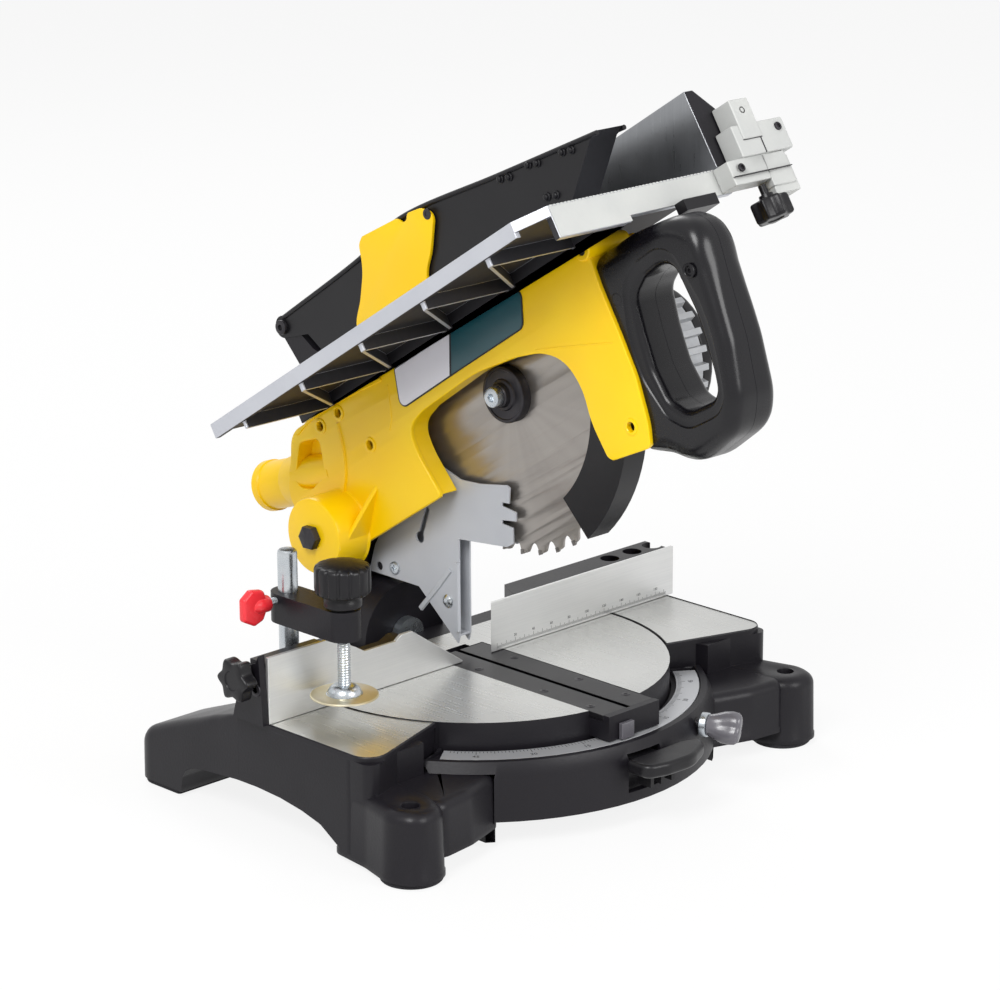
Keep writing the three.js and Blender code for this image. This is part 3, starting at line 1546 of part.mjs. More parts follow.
// Rip fence: an extrusion across the upper table, its carriage and its knob
const rip = {
  left: 69,
  bottomRise: 1,
  frontEnd: -426.3,
  backEnd: -20,
  carriageDepth: 20,
  knobX: 94,
  knobRadius: 15,
  knobLobes: 7,
  lobeShare: 0.1,
  blockShare: 0.66,
  knobBottom: 55,
  knobTop: 71,
  studRadius: 3,
  clampBottom: 75.3,
};
const ripShares = [
  [0, 0], [-0.022, 1], [0.178, 1], [0.556, 0.689], [0.533, 0.557], [0.289, 0.148],
  [0.289, 0],
];
const carriageShares = [
  [-0.2, -0.311], [-0.2, -0.033], [0.2, -0.033], [0.2, 0.672], [0.956, 0.672],
  [0.956, 0.393], [1.6, 0.393], [1.6, -0.033], [1.444, -0.033], [1.444, -0.541],
  [0.8, -0.541], [0.8, -0.311],
];
const ripSize = { width: 45, height: 61 };

function ripPlace(points) {
  const level = upperTableRise + rip.bottomRise;
  return scaled(points, ripSize.width, ripSize.height).map(([u, v]) => [u + rip.left, v + level]);
}

function ripFence() {
  return prism("y", ripPlace(ripShares), rip.frontEnd, rip.backEnd);
}

function ripCarriage() {
  const y1 = rip.frontEnd - gap;
  const y0 = y1 - rip.carriageDepth;
  const outline = ripPlace(carriageShares);
  const seat = outline[0][1];
  const x = rip.knobX;
  const half = rip.knobRadius * rip.blockShare;
  return cut(
    join(
      prism("y", outline, y0, y1),
      block(x - half, x + half, y0, y1, rip.clampBottom, seat + overrun),
    ),
    rod("z", [x, (y0 + y1) / 2], rip.studRadius + gap, rip.clampBottom - overrun,
      rip.clampBottom + half, 16),
  );
}

function ripKnob() {
  const centre = [rip.knobX, rip.frontEnd - gap - rip.carriageDepth / 2];
  return join(
    prism("z", lobedOutline(centre, rip.knobRadius, rip.knobLobes, rip.lobeShare), rip.knobBottom,
        rip.knobTop),
    rod("z", centre, rip.studRadius * 2, rip.knobTop - overrun, rip.clampBottom - gap, 16),
    rod("z", centre, rip.studRadius, rip.knobTop, rip.clampBottom + rip.knobRadius / 2, 16),
  );
}

// Assembly: the head group hangs on its pivot, turned up by the head's raise

function assemble() {
  add(saw, "base_casting", baseCasting(), "blackPaint");
  footPads();
  add(saw, "turntable_bolt", turntableBolt(), "zinc");
  add(saw, "mitre_scale", mitreScale(), "aluminium");
  add(saw, "detent_lever", detentLever(), "blackPlastic");
  add(saw, "mitre_lock_knob", mitreLockKnob(), "smoke").rotation.z = mitreLock.angle;
  add(saw, "fence_left", fenceLeft(), "blackPaint");
  add(saw, "fence_right", fenceRight(), "blackPaint");
  fenceFaces();
  add(saw, "fence_end_knob", fenceEndKnob(), "blackPlastic");
  assembleClamp();

  const table = new THREE.Group();
  saw.add(table);
  add(table, "turntable", turntableBody(), "aluminium");
  kerfInserts(table);
  add(table, "mitre_pointer", mitrePointer(), "blackPlastic");
  assembleBevel(table);
}

function assembleClamp() {
  const clampGroup = new THREE.Group();
  saw.add(clampGroup);
  const [x, y] = column.centre;
  add(saw, "clamp_column",
    rod("z", [x, y], column.radius, deckLevel + column.floor + gap, column.top, 24), "zinc");
  add(clampGroup, "clamp_arm", clampArm(), "blackPaint");
  add(clampGroup, "clamp_wing_screw", clampWingScrew(), "red");
  add(clampGroup, "clamp_screw", clampScrew(), "zinc");
  add(clampGroup, "clamp_knob", clampKnob(), "blackPlastic");
  add(clampGroup, "clamp_foot", clampFoot(), "zinc");
}

function assembleBevel(parent) {
  const bevel = new THREE.Group();
  parent.add(bevel);
  add(bevel, "tilt_bracket", tiltBracket(), "blackPaint");
  add(bevel, "bevel_pin", bevelPin(), "zinc");
  add(bevel, "bevel_lock_lever", bevelLockLever(), "blackPlastic");
  add(bevel, "blade_plate_left", bladePlate(-1), "silverPaint");
  add(bevel, "blade_plate_right", bladePlate(1), "silverPaint");
  add(bevel, "return_spring", returnSpring(), "zinc");

  const raised = new THREE.Group();
  raised.position.set(0, pivotBack, pivotHeight);
  raised.rotation.x = headTilt;
  bevel.add(raised);
  assembleHead(raised);
  assembleUpperTable(raised);
}

function assembleHead(parent) {
  add(parent, "head_casting", headCasting(), "yellowPaint");
  add(parent, "head_pivot_bolt", headPivotBolt(), "darkSteel");
  add(parent, "motor_housing", motorHousing(), "silverPaint");
  add(parent, "motor_end_cover", motorEndCover(), "blackPlastic");
  add(parent, "motor_stator", motorStator(), "steel");
  add(parent, "motor_rotor", motorRotor(), "steel");
  add(parent, "arbor_bearing", arborBearing(), "steel");
  add(parent, "arbor_shaft", arborShaft(), "steel");
  add(parent, "inner_flange", innerFlange(), "steel");
  add(parent, "saw_blade", sawBlade(), "steel");
  add(parent, "outer_flange", outerFlange(), "darkSteel");
  add(parent, "arbor_bolt", arborBolt(), "zinc");
  add(parent, "lower_guard", lowerGuard(), "blackPlastic");
  handleHalves(parent);
  add(parent, "switch_box", switchBox(), "blackPlastic");
  add(parent, "trigger", trigger(), "blackPlastic");
  add(parent, "trigger_pin", triggerPin(), "steel");
  add(parent, "label_plate", labelPlate(), "label");
}

function assembleUpperTable(parent) {
  const table = new THREE.Group();
  parent.add(table);
  add(table, "upper_table", upperTable(), "aluminium");
  for (const [word, place] of posts) {
    add(table, `table_post_${word}`,
      rod("z", place, post.radius, post.bottom, upperTableRise - upper.plate - gap, 24), "zinc");
  }
  add(table, "table_latch", tableLatch(), "blackPlastic");
  add(table, "hood_bracket", hoodBracket(), "blackPaint");
  add(table, "hood_bolt", hoodBolt(), "darkSteel");
  add(table, "guard_side_plate", guardSidePlate(), "yellowPaint");
  add(table, "hood", hoodShell(), "blackPlastic");
  add(table, "rip_fence", ripFence(), "aluminium");
  add(table, "rip_carriage", ripCarriage(), "whiteMetal");
  add(table, "rip_knob", ripKnob(), "blackPlastic");
}

assemble();
saw.updateMatrixWorld(true);
const bounds = new THREE.Box3().setFromObject(saw, true);
const middle = bounds.getCenter(new THREE.Vector3());
saw.position.set(-middle.x, -middle.y, -bounds.min.z);

export default saw;
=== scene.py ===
import json
import math

import bmesh
import bpy
import numpy as np
from mathutils import Matrix, Vector


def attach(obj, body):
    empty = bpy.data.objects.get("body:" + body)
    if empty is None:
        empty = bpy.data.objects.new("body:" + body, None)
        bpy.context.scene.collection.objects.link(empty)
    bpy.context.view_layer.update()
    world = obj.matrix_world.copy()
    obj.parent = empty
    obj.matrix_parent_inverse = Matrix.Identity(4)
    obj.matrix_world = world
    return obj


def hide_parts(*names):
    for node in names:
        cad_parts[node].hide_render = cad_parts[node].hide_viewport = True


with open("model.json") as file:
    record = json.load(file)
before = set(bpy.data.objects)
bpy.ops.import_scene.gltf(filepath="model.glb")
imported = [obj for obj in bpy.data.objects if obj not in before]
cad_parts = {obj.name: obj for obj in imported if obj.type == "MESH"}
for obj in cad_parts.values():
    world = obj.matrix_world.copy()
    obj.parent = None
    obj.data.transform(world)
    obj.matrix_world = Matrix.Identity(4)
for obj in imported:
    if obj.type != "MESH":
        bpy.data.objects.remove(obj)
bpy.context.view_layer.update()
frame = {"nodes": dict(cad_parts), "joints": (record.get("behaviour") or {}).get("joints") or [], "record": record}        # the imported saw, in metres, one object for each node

joints = {joint["name"]: joint for joint in frame["joints"]}
print("frame loaded:", len(frame["nodes"]), "nodes")


# ---- shapes: every size below is in millimetres, and a Form becomes metres when it is placed

def placeFrame(turn, origin):
    return np.array(turn, float), np.array(origin, float)


tableAxis = np.array(joints["mitre"]["pos_m"])
headPivot = np.array(joints["head"]["pos_m"])
headUp = np.array(joints["table_rise"]["axis"])
leanSin, leanCos = -headUp[1], headUp[2]
sawFrame = placeFrame(np.eye(3), (tableAxis[0], tableAxis[1], 0))
headFrame = placeFrame([[1, 0, 0], [0, leanCos, -leanSin], [0, leanSin, leanCos]], headPivot)


class Form:  # points with the faces between them
    def __init__(self, points, faces):
        self.points, self.faces = np.asarray(points, float), faces

    def __add__(self, other):
        shift = len(self.points)
        return Form(np.vstack([self.points, other.points]),
                    self.faces + [[i + shift for i in face] for face in other.faces])

    def along(self, axis):  # the form's third direction is laid on the named axis
        order = {"x": [2, 0, 1], "y": [1, 2, 0], "z": [0, 1, 2]}[axis]
        return Form(self.points[:, order], self.faces)

    def upright(self):  # the second and third directions change places
        return Form(self.points[:, [0, 2, 1]], self.faces)

    def moved(self, by):
        return Form(self.points + np.array(by, float), self.faces)

    def spun(self, degrees, axis="z"):
        c, s = math.cos(math.radians(degrees)), math.sin(math.radians(degrees))
        i, j = {"x": (1, 2), "y": (2, 0), "z": (0, 1)}[axis]
        points = self.points.copy()
        points[:, i] = self.points[:, i] * c - self.points[:, j] * s
        points[:, j] = self.points[:, i] * s + self.points[:, j] * c
        return Form(points, self.faces)

    def flipped(self, axis=0):  # a mirror image; the piece's normals are worked out again later
        points = self.points.copy()
        points[:, axis] *= -1
        return Form(points, self.faces)


def together(forms):
    total = forms[0]
    for form in forms[1:]:
        total = total + form
    return total


def gridForm(points, wrapAcross=True, wrapAlong=False, lids=True):
    # points in rows and columns, a face between every four neighbours, and a lid on the end rows
    rows, columns = points.shape[:2]
    i, j = np.meshgrid(np.arange(rows if wrapAlong else rows - 1),
                       np.arange(columns if wrapAcross else columns - 1), indexing="ij")
    down, right = (i + 1) % rows, (j + 1) % columns
    faces = np.stack([i * columns + j, i * columns + right, down * columns + right,
                      down * columns + j], axis=-1).reshape(-1, 4).tolist()
    if lids and not wrapAlong:
        faces.append(list(range(columns))[::-1])
        faces.append(list(range((rows - 1) * columns, rows * columns)))
    return Form(points.reshape(-1, 3), faces)


def softLoop(corners, radius=0.0, steps=5):
    # each corner becomes a curve between two points on its sides, drawn towards the corner
    corner = np.array([c[:2] for c in corners], float)
    size = np.array([c[2] if len(c) > 2 else radius for c in corners], float)
    before, after = np.roll(corner, 1, 0) - corner, np.roll(corner, -1, 0) - corner
    lengthBefore, lengthAfter = np.linalg.norm(before, axis=1), np.linalg.norm(after, axis=1)
    turn = np.clip((before * after).sum(1) / lengthBefore / lengthAfter, -0.9999, 0.9999)
    half = np.arccos(turn) / 2
    reach = np.minimum(size / np.tan(half), np.minimum(lengthBefore, lengthAfter) * 0.499)
    start = (corner + before * (reach / lengthBefore)[:, None])[:, None]
    end = (corner + after * (reach / lengthAfter)[:, None])[:, None]
    t, pull = np.linspace(0, 1, steps + 1)[None, :, None], np.sin(half)[:, None, None]
    a, b, c = (1 - t) ** 2, 2 * t * (1 - t) * pull, t ** 2
    loop = ((a * start + b * corner[:, None] + c * end) / (a + b + c)).reshape(-1, 2)
    return loop[np.linalg.norm(loop - np.roll(loop, 1, 0), axis=1) > 0.01]


def evenLoop(loop, count):
    # the closed loop walked at even steps
    closed = np.vstack([loop, loop[:1]])
    walked = np.concatenate([[0], np.cumsum(np.linalg.norm(np.diff(closed, axis=0), axis=1))])
    steps = np.linspace(0, walked[-1], count, endpoint=False)
    return np.stack([np.interp(steps, walked, closed[:, k]) for k in (0, 1)], axis=1)


def loopArea(loop):
    x, y = loop[:, 0], loop[:, 1]
    return 0.5 * float((x * np.roll(y, -1) - np.roll(x, -1) * y).sum())


def insetLoop(loop, depth):
    # every corner goes inwards along the sum of its two sides' normals
    before, after = loop - np.roll(loop, 1, 0), np.roll(loop, -1, 0) - loop
    before /= np.linalg.norm(before, axis=1)[:, None]
    after /= np.linalg.norm(after, axis=1)[:, None]
    inwards = np.stack([-before[:, 1] - after[:, 1], before[:, 0] + after[:, 0]], axis=1)
    inwards *= 1 if loopArea(loop) > 0 else -1
    square = np.maximum((inwards ** 2).sum(1) / 2, 0.35)
    return loop + inwards * (depth / square)[:, None]


def slab(loop, low, high, edge=0.0, steps=3):
    # the outline carried from low to high, drawn in along a quarter circle at both ends
    loop = np.asarray(loop, float)
    quarter = quarterTurn(steps + 1) if edge else (np.zeros(1), np.zeros(1))
    draws, lifts = [edge * share for share in quarter]
    rows = [(d, low + h) for d, h in zip(draws, lifts)]
    rows += [(d, high - h) for d, h in zip(draws[::-1], lifts[::-1])]
    points = np.stack([np.column_stack([insetLoop(loop, d) if d else loop,
                                        np.full(len(loop), h)]) for d, h in rows])
    return gridForm(points)


def quarterTurn(steps):
    # along a quarter circle of radius one: how far it is drawn in from the side, and from the end
    turn = np.linspace(0, math.pi / 2, steps)
    return 1 - np.sin(turn), 1 - np.cos(turn)


def turned(profile, steps=48, shape=None, ring=False):
    # the profile's radius and height carried round the axis; shape(angle, row) scales the radius
    profile = np.asarray(profile, float)
    angle = np.linspace(0, 2 * math.pi, steps, endpoint=False)[None, :]
    radius = profile[:, :1] * np.ones_like(angle)
    if shape is not None:
        radius = radius * shape(angle, profile)
    points = np.stack([radius * np.cos(angle), radius * np.sin(angle),
                       profile[:, 1:2] * np.ones_like(angle)], axis=-1)
    return gridForm(points, wrapAlong=ring, lids=not ring)


def ringSector(inner, outer, start, end, low, high):
    # a piece of a flat ring between two angles, as an outline carried upwards
    angle = np.radians(np.linspace(start, end, 32))
    ray = np.column_stack([np.cos(angle), np.sin(angle)])
    return slab(np.vstack([ray * outer, ray[::-1] * inner]), low, high)


def tubeAlong(path, radius, steps=12, flat=1.0):
    # a circle carried along the path, its frame taken from the path's direction
    path = np.asarray(path, float)
    ahead = np.gradient(path, axis=0)
    ahead /= np.linalg.norm(ahead, axis=1)[:, None]
    spare = np.where(np.abs(ahead[:, :1]) < 0.9, [[1.0, 0, 0]], [[0, 0, 1.0]])
    side = np.cross(ahead, spare)
    side /= np.linalg.norm(side, axis=1)[:, None]
    over = np.cross(side, ahead)
    angle = np.linspace(0, 2 * math.pi, steps, endpoint=False)[None, :, None]
    size = np.broadcast_to(np.asarray(radius, float), (len(path),))[:, None, None]
    points = path[:, None] + size * (np.cos(angle) * side[:, None] * flat
                                     + np.sin(angle) * over[:, None])
    return gridForm(points)


boxSides = np.array([[0, 3, 2, 1], [4, 5, 6, 7], [0, 1, 5, 4], [1, 2, 6, 5], [2, 3, 7, 6],
                     [3, 0, 4, 7]])


def boxFaces(count):
    # the six sides of each box, whose eight corners follow those of the box before it
    return (np.arange(count)[:, None, None] * 8 + boxSides).reshape(-1, 4).tolist()


def boxes(lows, highs):
    # many boxes at once: the eight corners of each are its low and high values in turn
    lows, highs = np.asarray(lows, float), np.asarray(highs, float)
    pick = np.array([[0, 0, 0], [1, 0, 0], [1, 1, 0], [0, 1, 0],
                     [0, 0, 1], [1, 0, 1], [1, 1, 1], [0, 1, 1]])[None]
    points = np.where(pick == 1, highs[:, None], lows[:, None]).reshape(-1, 3)
    return Form(points, boxFaces(len(lows)))


def formOfMesh(mesh):
    points = np.zeros(len(mesh.vertices) * 3)
    mesh.vertices.foreach_get("co", points)
    return Form(points.reshape(-1, 3), [list(face.vertices) for face in mesh.polygons])


def meshedCurve(curve):
    holder = bpy.data.objects.new("drawing", curve)
    bpy.context.scene.collection.objects.link(holder)
    bpy.context.view_layer.update()
    form = formOfMesh(holder.evaluated_get(bpy.context.evaluated_depsgraph_get()).to_mesh())
    bpy.data.objects.remove(holder)
    return form


def plate(loops, low, high, edge=0.0, steps=2):
    # a flat curve of an outline and its holes, filled, thickened and with round edges
    curve = bpy.data.curves.new("plate", "CURVE")
    curve.dimensions, curve.fill_mode = "2D", "BOTH"
    for loop in loops:
        spline = curve.splines.new("POLY")
        spline.points.add(len(loop) - 1)
        flat = np.column_stack([loop, np.zeros(len(loop)), np.ones(len(loop))])
        spline.points.foreach_set("co", flat.ravel().astype(np.float32))
        spline.use_cyclic_u = True
    curve.extrude = max((high - low) / 2 - edge, 0)
    curve.bevel_depth, curve.bevel_resolution, curve.offset = edge, steps, -edge
    return meshedCurve(curve).moved((0, 0, (low + high) / 2))


def lettering(words, size, depth=0.12):
    # plain digits as a flat outline with a little depth, centred
    text = bpy.data.curves.new("digits", "FONT")
    text.body, text.size, text.extrude = words, size, depth
    text.align_x, text.align_y, text.resolution_u = "CENTER", "CENTER", 2
    return meshedCurve(text)


def circle(centre, radius, steps=32):
    angle = np.linspace(0, 2 * math.pi, steps, endpoint=False)
    return np.column_stack([centre[0] + radius * np.cos(angle), centre[1] + radius * np.sin(angle)])


def polygonShape(sides):
    # how far a regular polygon's side lies from the centre, against its corners
    def scale(angle):
        part = math.pi / sides
        return math.cos(part) / np.cos((angle + part) % (2 * part) - part)
    return scale


def crossShape(angle):  # the same for a cross-shaped socket
    return 0.34 + 0.66 * np.abs(np.cos(2 * angle)) ** 5


def screwHead(radius, height, socket=0.0, depth=1.5, sides=6, crown=0.8, body=None, steps=48):
    # rim, rounded shoulder and top, then a socket whose wall follows a hexagon, star or cross
    wall = crossShape if sides == 4 else polygonShape(sides)
    rows = [(0, 0, 0), (radius, 0, 0), (radius, height - crown, 0),
            (radius - crown * 0.3, height - crown * 0.3, 0), (radius - crown, height, 0)]
    if socket:
        rows += [(socket, height, 1), (socket * 0.96, height - depth, 1), (0, height - depth, 1)]
    else:
        rows += [(0, height, 0)]
    kinds = np.array([row[2] for row in rows])

    def shape(angle, profile):
        outside = body(angle) if body is not None else np.ones_like(angle)
        return np.where(kinds[:, None] == 1, wall(angle),
                        np.where(profile[:, :1] > radius * 0.6, outside, 1))
    return turned([row[:2] for row in rows], steps, shape)


def rod(radius, low, high, steps=32):
    return turned([(0, low), (radius, low), (radius, high), (0, high)], steps)


def onLeft(form, place):  # a form about the third axis, standing on a face that looks to the left
    return form.along("x").flipped().moved(place)


def bothSides(form):
    return form + form.flipped()


# ---- materials

def paint(code):  # a written colour in the shader's linear values
    parts = [int(code[k:k + 2], 16) / 255 for k in (1, 3, 5)]
    return tuple(p / 12.92 if p <= 0.04045 else ((p + 0.055) / 1.055) ** 2.4
                 for p in parts) + (1.0,)


class Wire:  # a socket's value; an operator adds the Math node that it stands for
    def __init__(self, sheet, socket):
        self.sheet, self.socket = sheet, socket

    def calc(self, operation, first, second=0.0):
        return self.sheet.node("ShaderNodeMath", {"operation": operation}, {0: first, 1: second})

    def __add__(self, other): return self.calc("ADD", self, other)
    def __radd__(self, other): return self.calc("ADD", other, self)
    def __sub__(self, other): return self.calc("SUBTRACT", self, other)
    def __rsub__(self, other): return self.calc("SUBTRACT", other, self)
    def __mul__(self, other): return self.calc("MULTIPLY", self, other)
    def __rmul__(self, other): return self.calc("MULTIPLY", other, self)
    def __pow__(self, other): return self.calc("POWER", self, other)
    def __gt__(self, other): return self.calc("GREATER_THAN", self, other)
    def __lt__(self, other): return self.calc("LESS_THAN", self, other)


class Sheet:  # the node tree of one material, or of the world
    def __init__(self, owner):
        owner.use_nodes = True
        self.owner, self.tree = owner, owner.node_tree
        self.tree.nodes.clear()

    def node(self, kind, settings=None, values=None, out=0):
        made = self.tree.nodes.new(kind)
        for key, value in (settings or {}).items():
            setattr(made, key, value)
        for key, value in (values or {}).items():
            if isinstance(value, Wire):
                self.tree.links.new(value.socket, made.inputs[key])
            else:
                made.inputs[key].default_value = value
        return Wire(self, made.outputs[out]) if len(made.outputs) else None

    def place(self):
        return self.node("ShaderNodeTexCoord", out="Object")

    def noise(self, scale, detail=3.0, rough=0.55, place=None):
        return self.node("ShaderNodeTexNoise", {}, {"Vector": place or self.place(), "Scale": scale,
                                                   "Detail": detail, "Roughness": rough}, out="Fac")

    def stretched(self, stretch=(1, 1, 1), centre=(0, 0, 0)):
        return self.node("ShaderNodeMapping", {"vector_type": "TEXTURE"},
                         {"Vector": self.place(), "Location": centre, "Scale": stretch})

    def between(self, value, low, high):
        return self.node("ShaderNodeMapRange", {"interpolation_type": "SMOOTHSTEP"},
                         {"Value": value, "From Min": low, "From Max": high})

    def cloud(self, scale, detail, low=0.3, high=0.75):  # soft patches
        return self.between(self.noise(scale, detail), low, high)

    def mixed(self, factor, first, second):
        colours = [paint(c) if isinstance(c, str) else c for c in (first, second)]
        return self.node("ShaderNodeMix", {"data_type": "RGBA"},
                         {0: factor, 6: colours[0], 7: colours[1]}, out=2)

    def parts(self, vector):
        return [self.node("ShaderNodeSeparateXYZ", {}, {0: vector}, out=k) for k in range(3)]

    def dot(self, first, second):
        return self.node("ShaderNodeVectorMath", {"operation": "DOT_PRODUCT"},
                         {0: first, 1: second}, out="Value")

    def normal(self):
        return self.node("ShaderNodeNewGeometry", out="Normal")

    def ray(self, kind):
        return self.node("ShaderNodeLightPath", out=f"Is {kind} Ray")

    def greater(self, first, second):
        return self.node("ShaderNodeMath", {"operation": "MAXIMUM"}, {0: first, 1: second})

    def edges(self, size):
        # where a softened normal leaves the true one, an edge is near
        soft = self.node("ShaderNodeBevel", {"samples": 4}, {"Radius": size})
        return self.between(self.dot(soft, self.normal()), 0.998, 0.86)

    def bump(self, height, strength, distance):
        return self.node("ShaderNodeBump", {},
                         {"Height": height, "Strength": strength, "Distance": distance})

    def shader(self, **values):
        wanted = {key.replace("_", " "): value for key, value in values.items()}
        surface = self.node("ShaderNodeBsdfPrincipled", {}, wanted)
        self.node("ShaderNodeOutputMaterial", {}, {"Surface": surface})


def paintedCasting(sheet, look):
    # paint with a slight orange peel, broad shade changes and rubbed edges
    broad, peel = sheet.cloud(look.get("patch", 14), 2, 0.35,
                              0.7), sheet.noise(look.get("peel", 420), 2)
    rub = sheet.edges(0.0012) * sheet.cloud(60, 4, 0.42, 0.72) * look.get("wear", 0.35)
    colour = sheet.mixed(rub, sheet.mixed(broad * 0.35, look["colour"], look["shade"]),
                         look["rubbed"])
    sheet.shader(Base_Color=colour, Roughness=peel * 0.1 + broad * 0.06 + (look["rough"] - 0.08),
                 Metallic=look.get("metal", 0.0), Coat_Weight=look.get("coat", 0.0),
                 Coat_Roughness=0.15, Specular_IOR_Level=look.get("specular", 0.5),
                 Normal=sheet.bump(peel, look.get("grain", 0.12), 0.0004))


def mouldedPlastic(sheet, look):
    # fine spark-eroded grain, a soft sheen that changes a little, paler along handled edges
    grain, broad = sheet.noise(look.get("grainScale", 1600), 2), sheet.cloud(18, 3)
    colour = sheet.mixed(sheet.edges(0.001) * 0.25,
                         sheet.mixed(broad * 0.3, look["colour"], look["shade"]), look["rubbed"])
    sheet.shader(Base_Color=colour, Roughness=grain * 0.12 + broad * 0.08 + (look["rough"] - 0.1),
                 Coat_Weight=look.get("coat", 0.0), Coat_Roughness=0.2,
                 Specular_IOR_Level=look.get("specular", 0.4),
                 Normal=sheet.bump(grain, look.get("grain", 0.2), 0.0003))


def brushedMetal(sheet, look):
    # long thin scratches along one direction in colour, sheen and relief
    lines = sheet.noise(900, 4, 0.6, sheet.stretched(look["stretch"]))
    tone = sheet.mixed(lines * 0.55 + sheet.cloud(11, 3) * 0.25, look["colour"], look["shade"])
    sheet.shader(Base_Color=tone, Metallic=look.get("metal", 0.85),
                 Roughness=lines * 0.2 + sheet.noise(55, 4) * 0.1 + (look["rough"] - 0.14),
                 Normal=sheet.bump(lines, 0.18, 0.0003))


def platedSteel(sheet, look):
    # bright plating with faint warm and cold patches and small dents
    patches, specks = sheet.cloud(look.get("patch", 45), 3, 0.3, 0.7), sheet.noise(700, 3)
    sheet.shader(Base_Color=sheet.mixed(patches, look["colour"], look["shade"]),
                 Metallic=look.get("metal", 0.95),
                 Roughness=specks * 0.14 + patches * 0.08 + (look["rough"] - 0.1),
                 Normal=sheet.bump(specks, 0.08, 0.0002))


def sandCasting(sheet, look):
    # bare or thinly painted casting: coarse skin with pits
    skin = sheet.noise(260, 5, 0.65)
    tone = sheet.mixed(sheet.cloud(20, 3) * 0.5 + skin * 0.25, look["colour"], look["shade"])
    sheet.shader(Base_Color=tone, Metallic=look["metal"], Roughness=skin * 0.2
                 + (look["rough"] - 0.1),
                 Normal=sheet.bump(skin, look.get("grain", 0.3), 0.0006))


def machinedTop(sheet, look):
    # black paint, but milled bright where the top face lies at the table's height
    y, z = sheet.parts(sheet.place())[1:]
    up = sheet.parts(sheet.normal())[2]
    bare = (z > look["height"]) * (up > 0.95) * (y < look["back"]) * (y > look["front"])
    lines, peel = sheet.noise(700, 4, 0.6, sheet.stretched(look["stretch"])), sheet.noise(520, 3)
    broad = sheet.cloud(9, 3)
    black = sheet.mixed(sheet.edges(0.0012) * sheet.cloud(70, 4, 0.45, 0.75) * 0.3,
                        sheet.mixed(broad * 0.35, look["colour"], look["shade"]), look["rubbed"])
    bright = sheet.mixed(lines * 0.5 + broad * 0.3, look["metal"], look["metalShade"])
    rough = bare * (lines * 0.18 + 0.2) + (1 - bare) * (peel * 0.18 + look["rough"] - 0.05)
    sheet.shader(Base_Color=sheet.mixed(bare, black, bright), Metallic=bare * 0.85, Roughness=rough,
                 Specular_IOR_Level=look["specular"],
                 Normal=sheet.bump(bare * lines * 0.4 + (1 - bare) * peel, 0.2, 0.0004))


def ribbedMetal(sheet, look):
    # milled outside; between the ribs, under the plate and inside the rim, painted shade darkens
    # the casting where shadow falls
    centred = sheet.stretched(centre=tuple(headPivot))
    height, up = sheet.dot(centred, tuple(headUp)), sheet.dot(sheet.normal(), tuple(headUp))
    x, ahead = sheet.parts(centred)[0], sheet.dot(centred, (0, leanCos, leanSin))
    # where the painted shade goes: inside the rim, under the plate and on the downward faces
    # between the ribs
    inside = (height < look["plate"]) * (x > look["left"]) * (x < look["right"])
    inside = inside * (up > -0.9) * (ahead > look["front"])
    dark = sheet.greater(inside, (height < look["face"]) * (up < -0.9) * (height > look["ribs"]))
    lines = sheet.noise(900, 4, 0.6, sheet.stretched(look["stretch"]))
    bright = sheet.mixed(lines * 0.5 + sheet.cloud(11, 3) * 0.25, look["colour"], look["shade"])
    # the painted shade's colour, a little patchy
    paintedShade = sheet.mixed(sheet.noise(260, 4) * 0.5, look["dark"], look["darkShade"])
    sheet.shader(Base_Color=sheet.mixed(dark, bright, paintedShade), Metallic=(1 - dark) * look["metal"],
                 Roughness=lines * 0.18 + dark * 0.2 + (look["rough"] - 0.1),
                 Normal=sheet.bump(lines, 0.15, 0.0003))


def groundBlade(sheet, look):
    # ground in circles about the arbor, with soft fans of painted highlight and shade that change
    # with the angle round it
    y, z = sheet.parts(sheet.stretched(centre=tuple(look["centre"])))[1:]
    away = (y * y + z * z) ** 0.5
    angle = sheet.node("ShaderNodeMath", {"operation": "ARCTAN2"}, {0: z, 1: y})
    rings, paintedHighlightFans = [sheet.noise(1.0, detail, rough,
                               sheet.node("ShaderNodeCombineXYZ", {}, {0: turn, 1: lift}))
                   for detail, rough, turn, lift in ((3, 0.7, away * 2600, 0.0),
                                                     (2, 0.5, angle * 2.2, 3.0))]
    # the fans by angle lighten and darken the colour as painted highlight and shade
    tone = sheet.mixed(rings * 0.3 + sheet.between(paintedHighlightFans, 0.3, 0.7) * 0.28, look["colour"],
                       look["shade"])
    sheet.shader(Base_Color=tone, Metallic=0.85, Roughness=rings * 0.16 + 0.24,
                 Normal=sheet.bump(rings, 0.12, 0.0002))


finishes = {}


def makeFinish(key, maker, name, **look):
    sheet = Sheet(bpy.data.materials.new(name))
    maker(sheet, look)
    finishes[key] = sheet.owner


blackPaint = {"colour": "#19171C", "shade": "#131216", "rubbed": "#3B3940", "rough": 0.38,
              "specular": 0.28}
makeFinish("yellow", paintedCasting, "yellowPaint", colour="#FFD400", shade="#FFC000",
           rubbed="#FFE04A",
           rough=0.34, coat=0.12, grain=0.06, wear=0.3, patch=9, specular=0.35)
makeFinish("castBlack", paintedCasting, "blackPaint", **blackPaint, peel=520, grain=0.2, wear=0.3)
makeFinish("silverPaint", paintedCasting, "silverPaint", colour="#BCBFC5", shade="#ABAEB6",
           rubbed="#DCDEE2", rough=0.42, metal=0.15, grain=0.08)
makeFinish("plastic", mouldedPlastic, "blackPlastic", colour="#161518", shade="#111013",
           rubbed="#323137", rough=0.34, specular=0.32)
makeFinish("grip", mouldedPlastic, "gripPlastic", colour="#100F13", shade="#0C0B0F",
           rubbed="#29282F",
           rough=0.27, grain=0.03, grainScale=1100, coat=0.1, specular=0.34)
makeFinish("smoke", mouldedPlastic, "smokyPlastic", colour="#605E64", shade="#4B4A50",
           rubbed="#8C8B92", rough=0.28, coat=0.5)
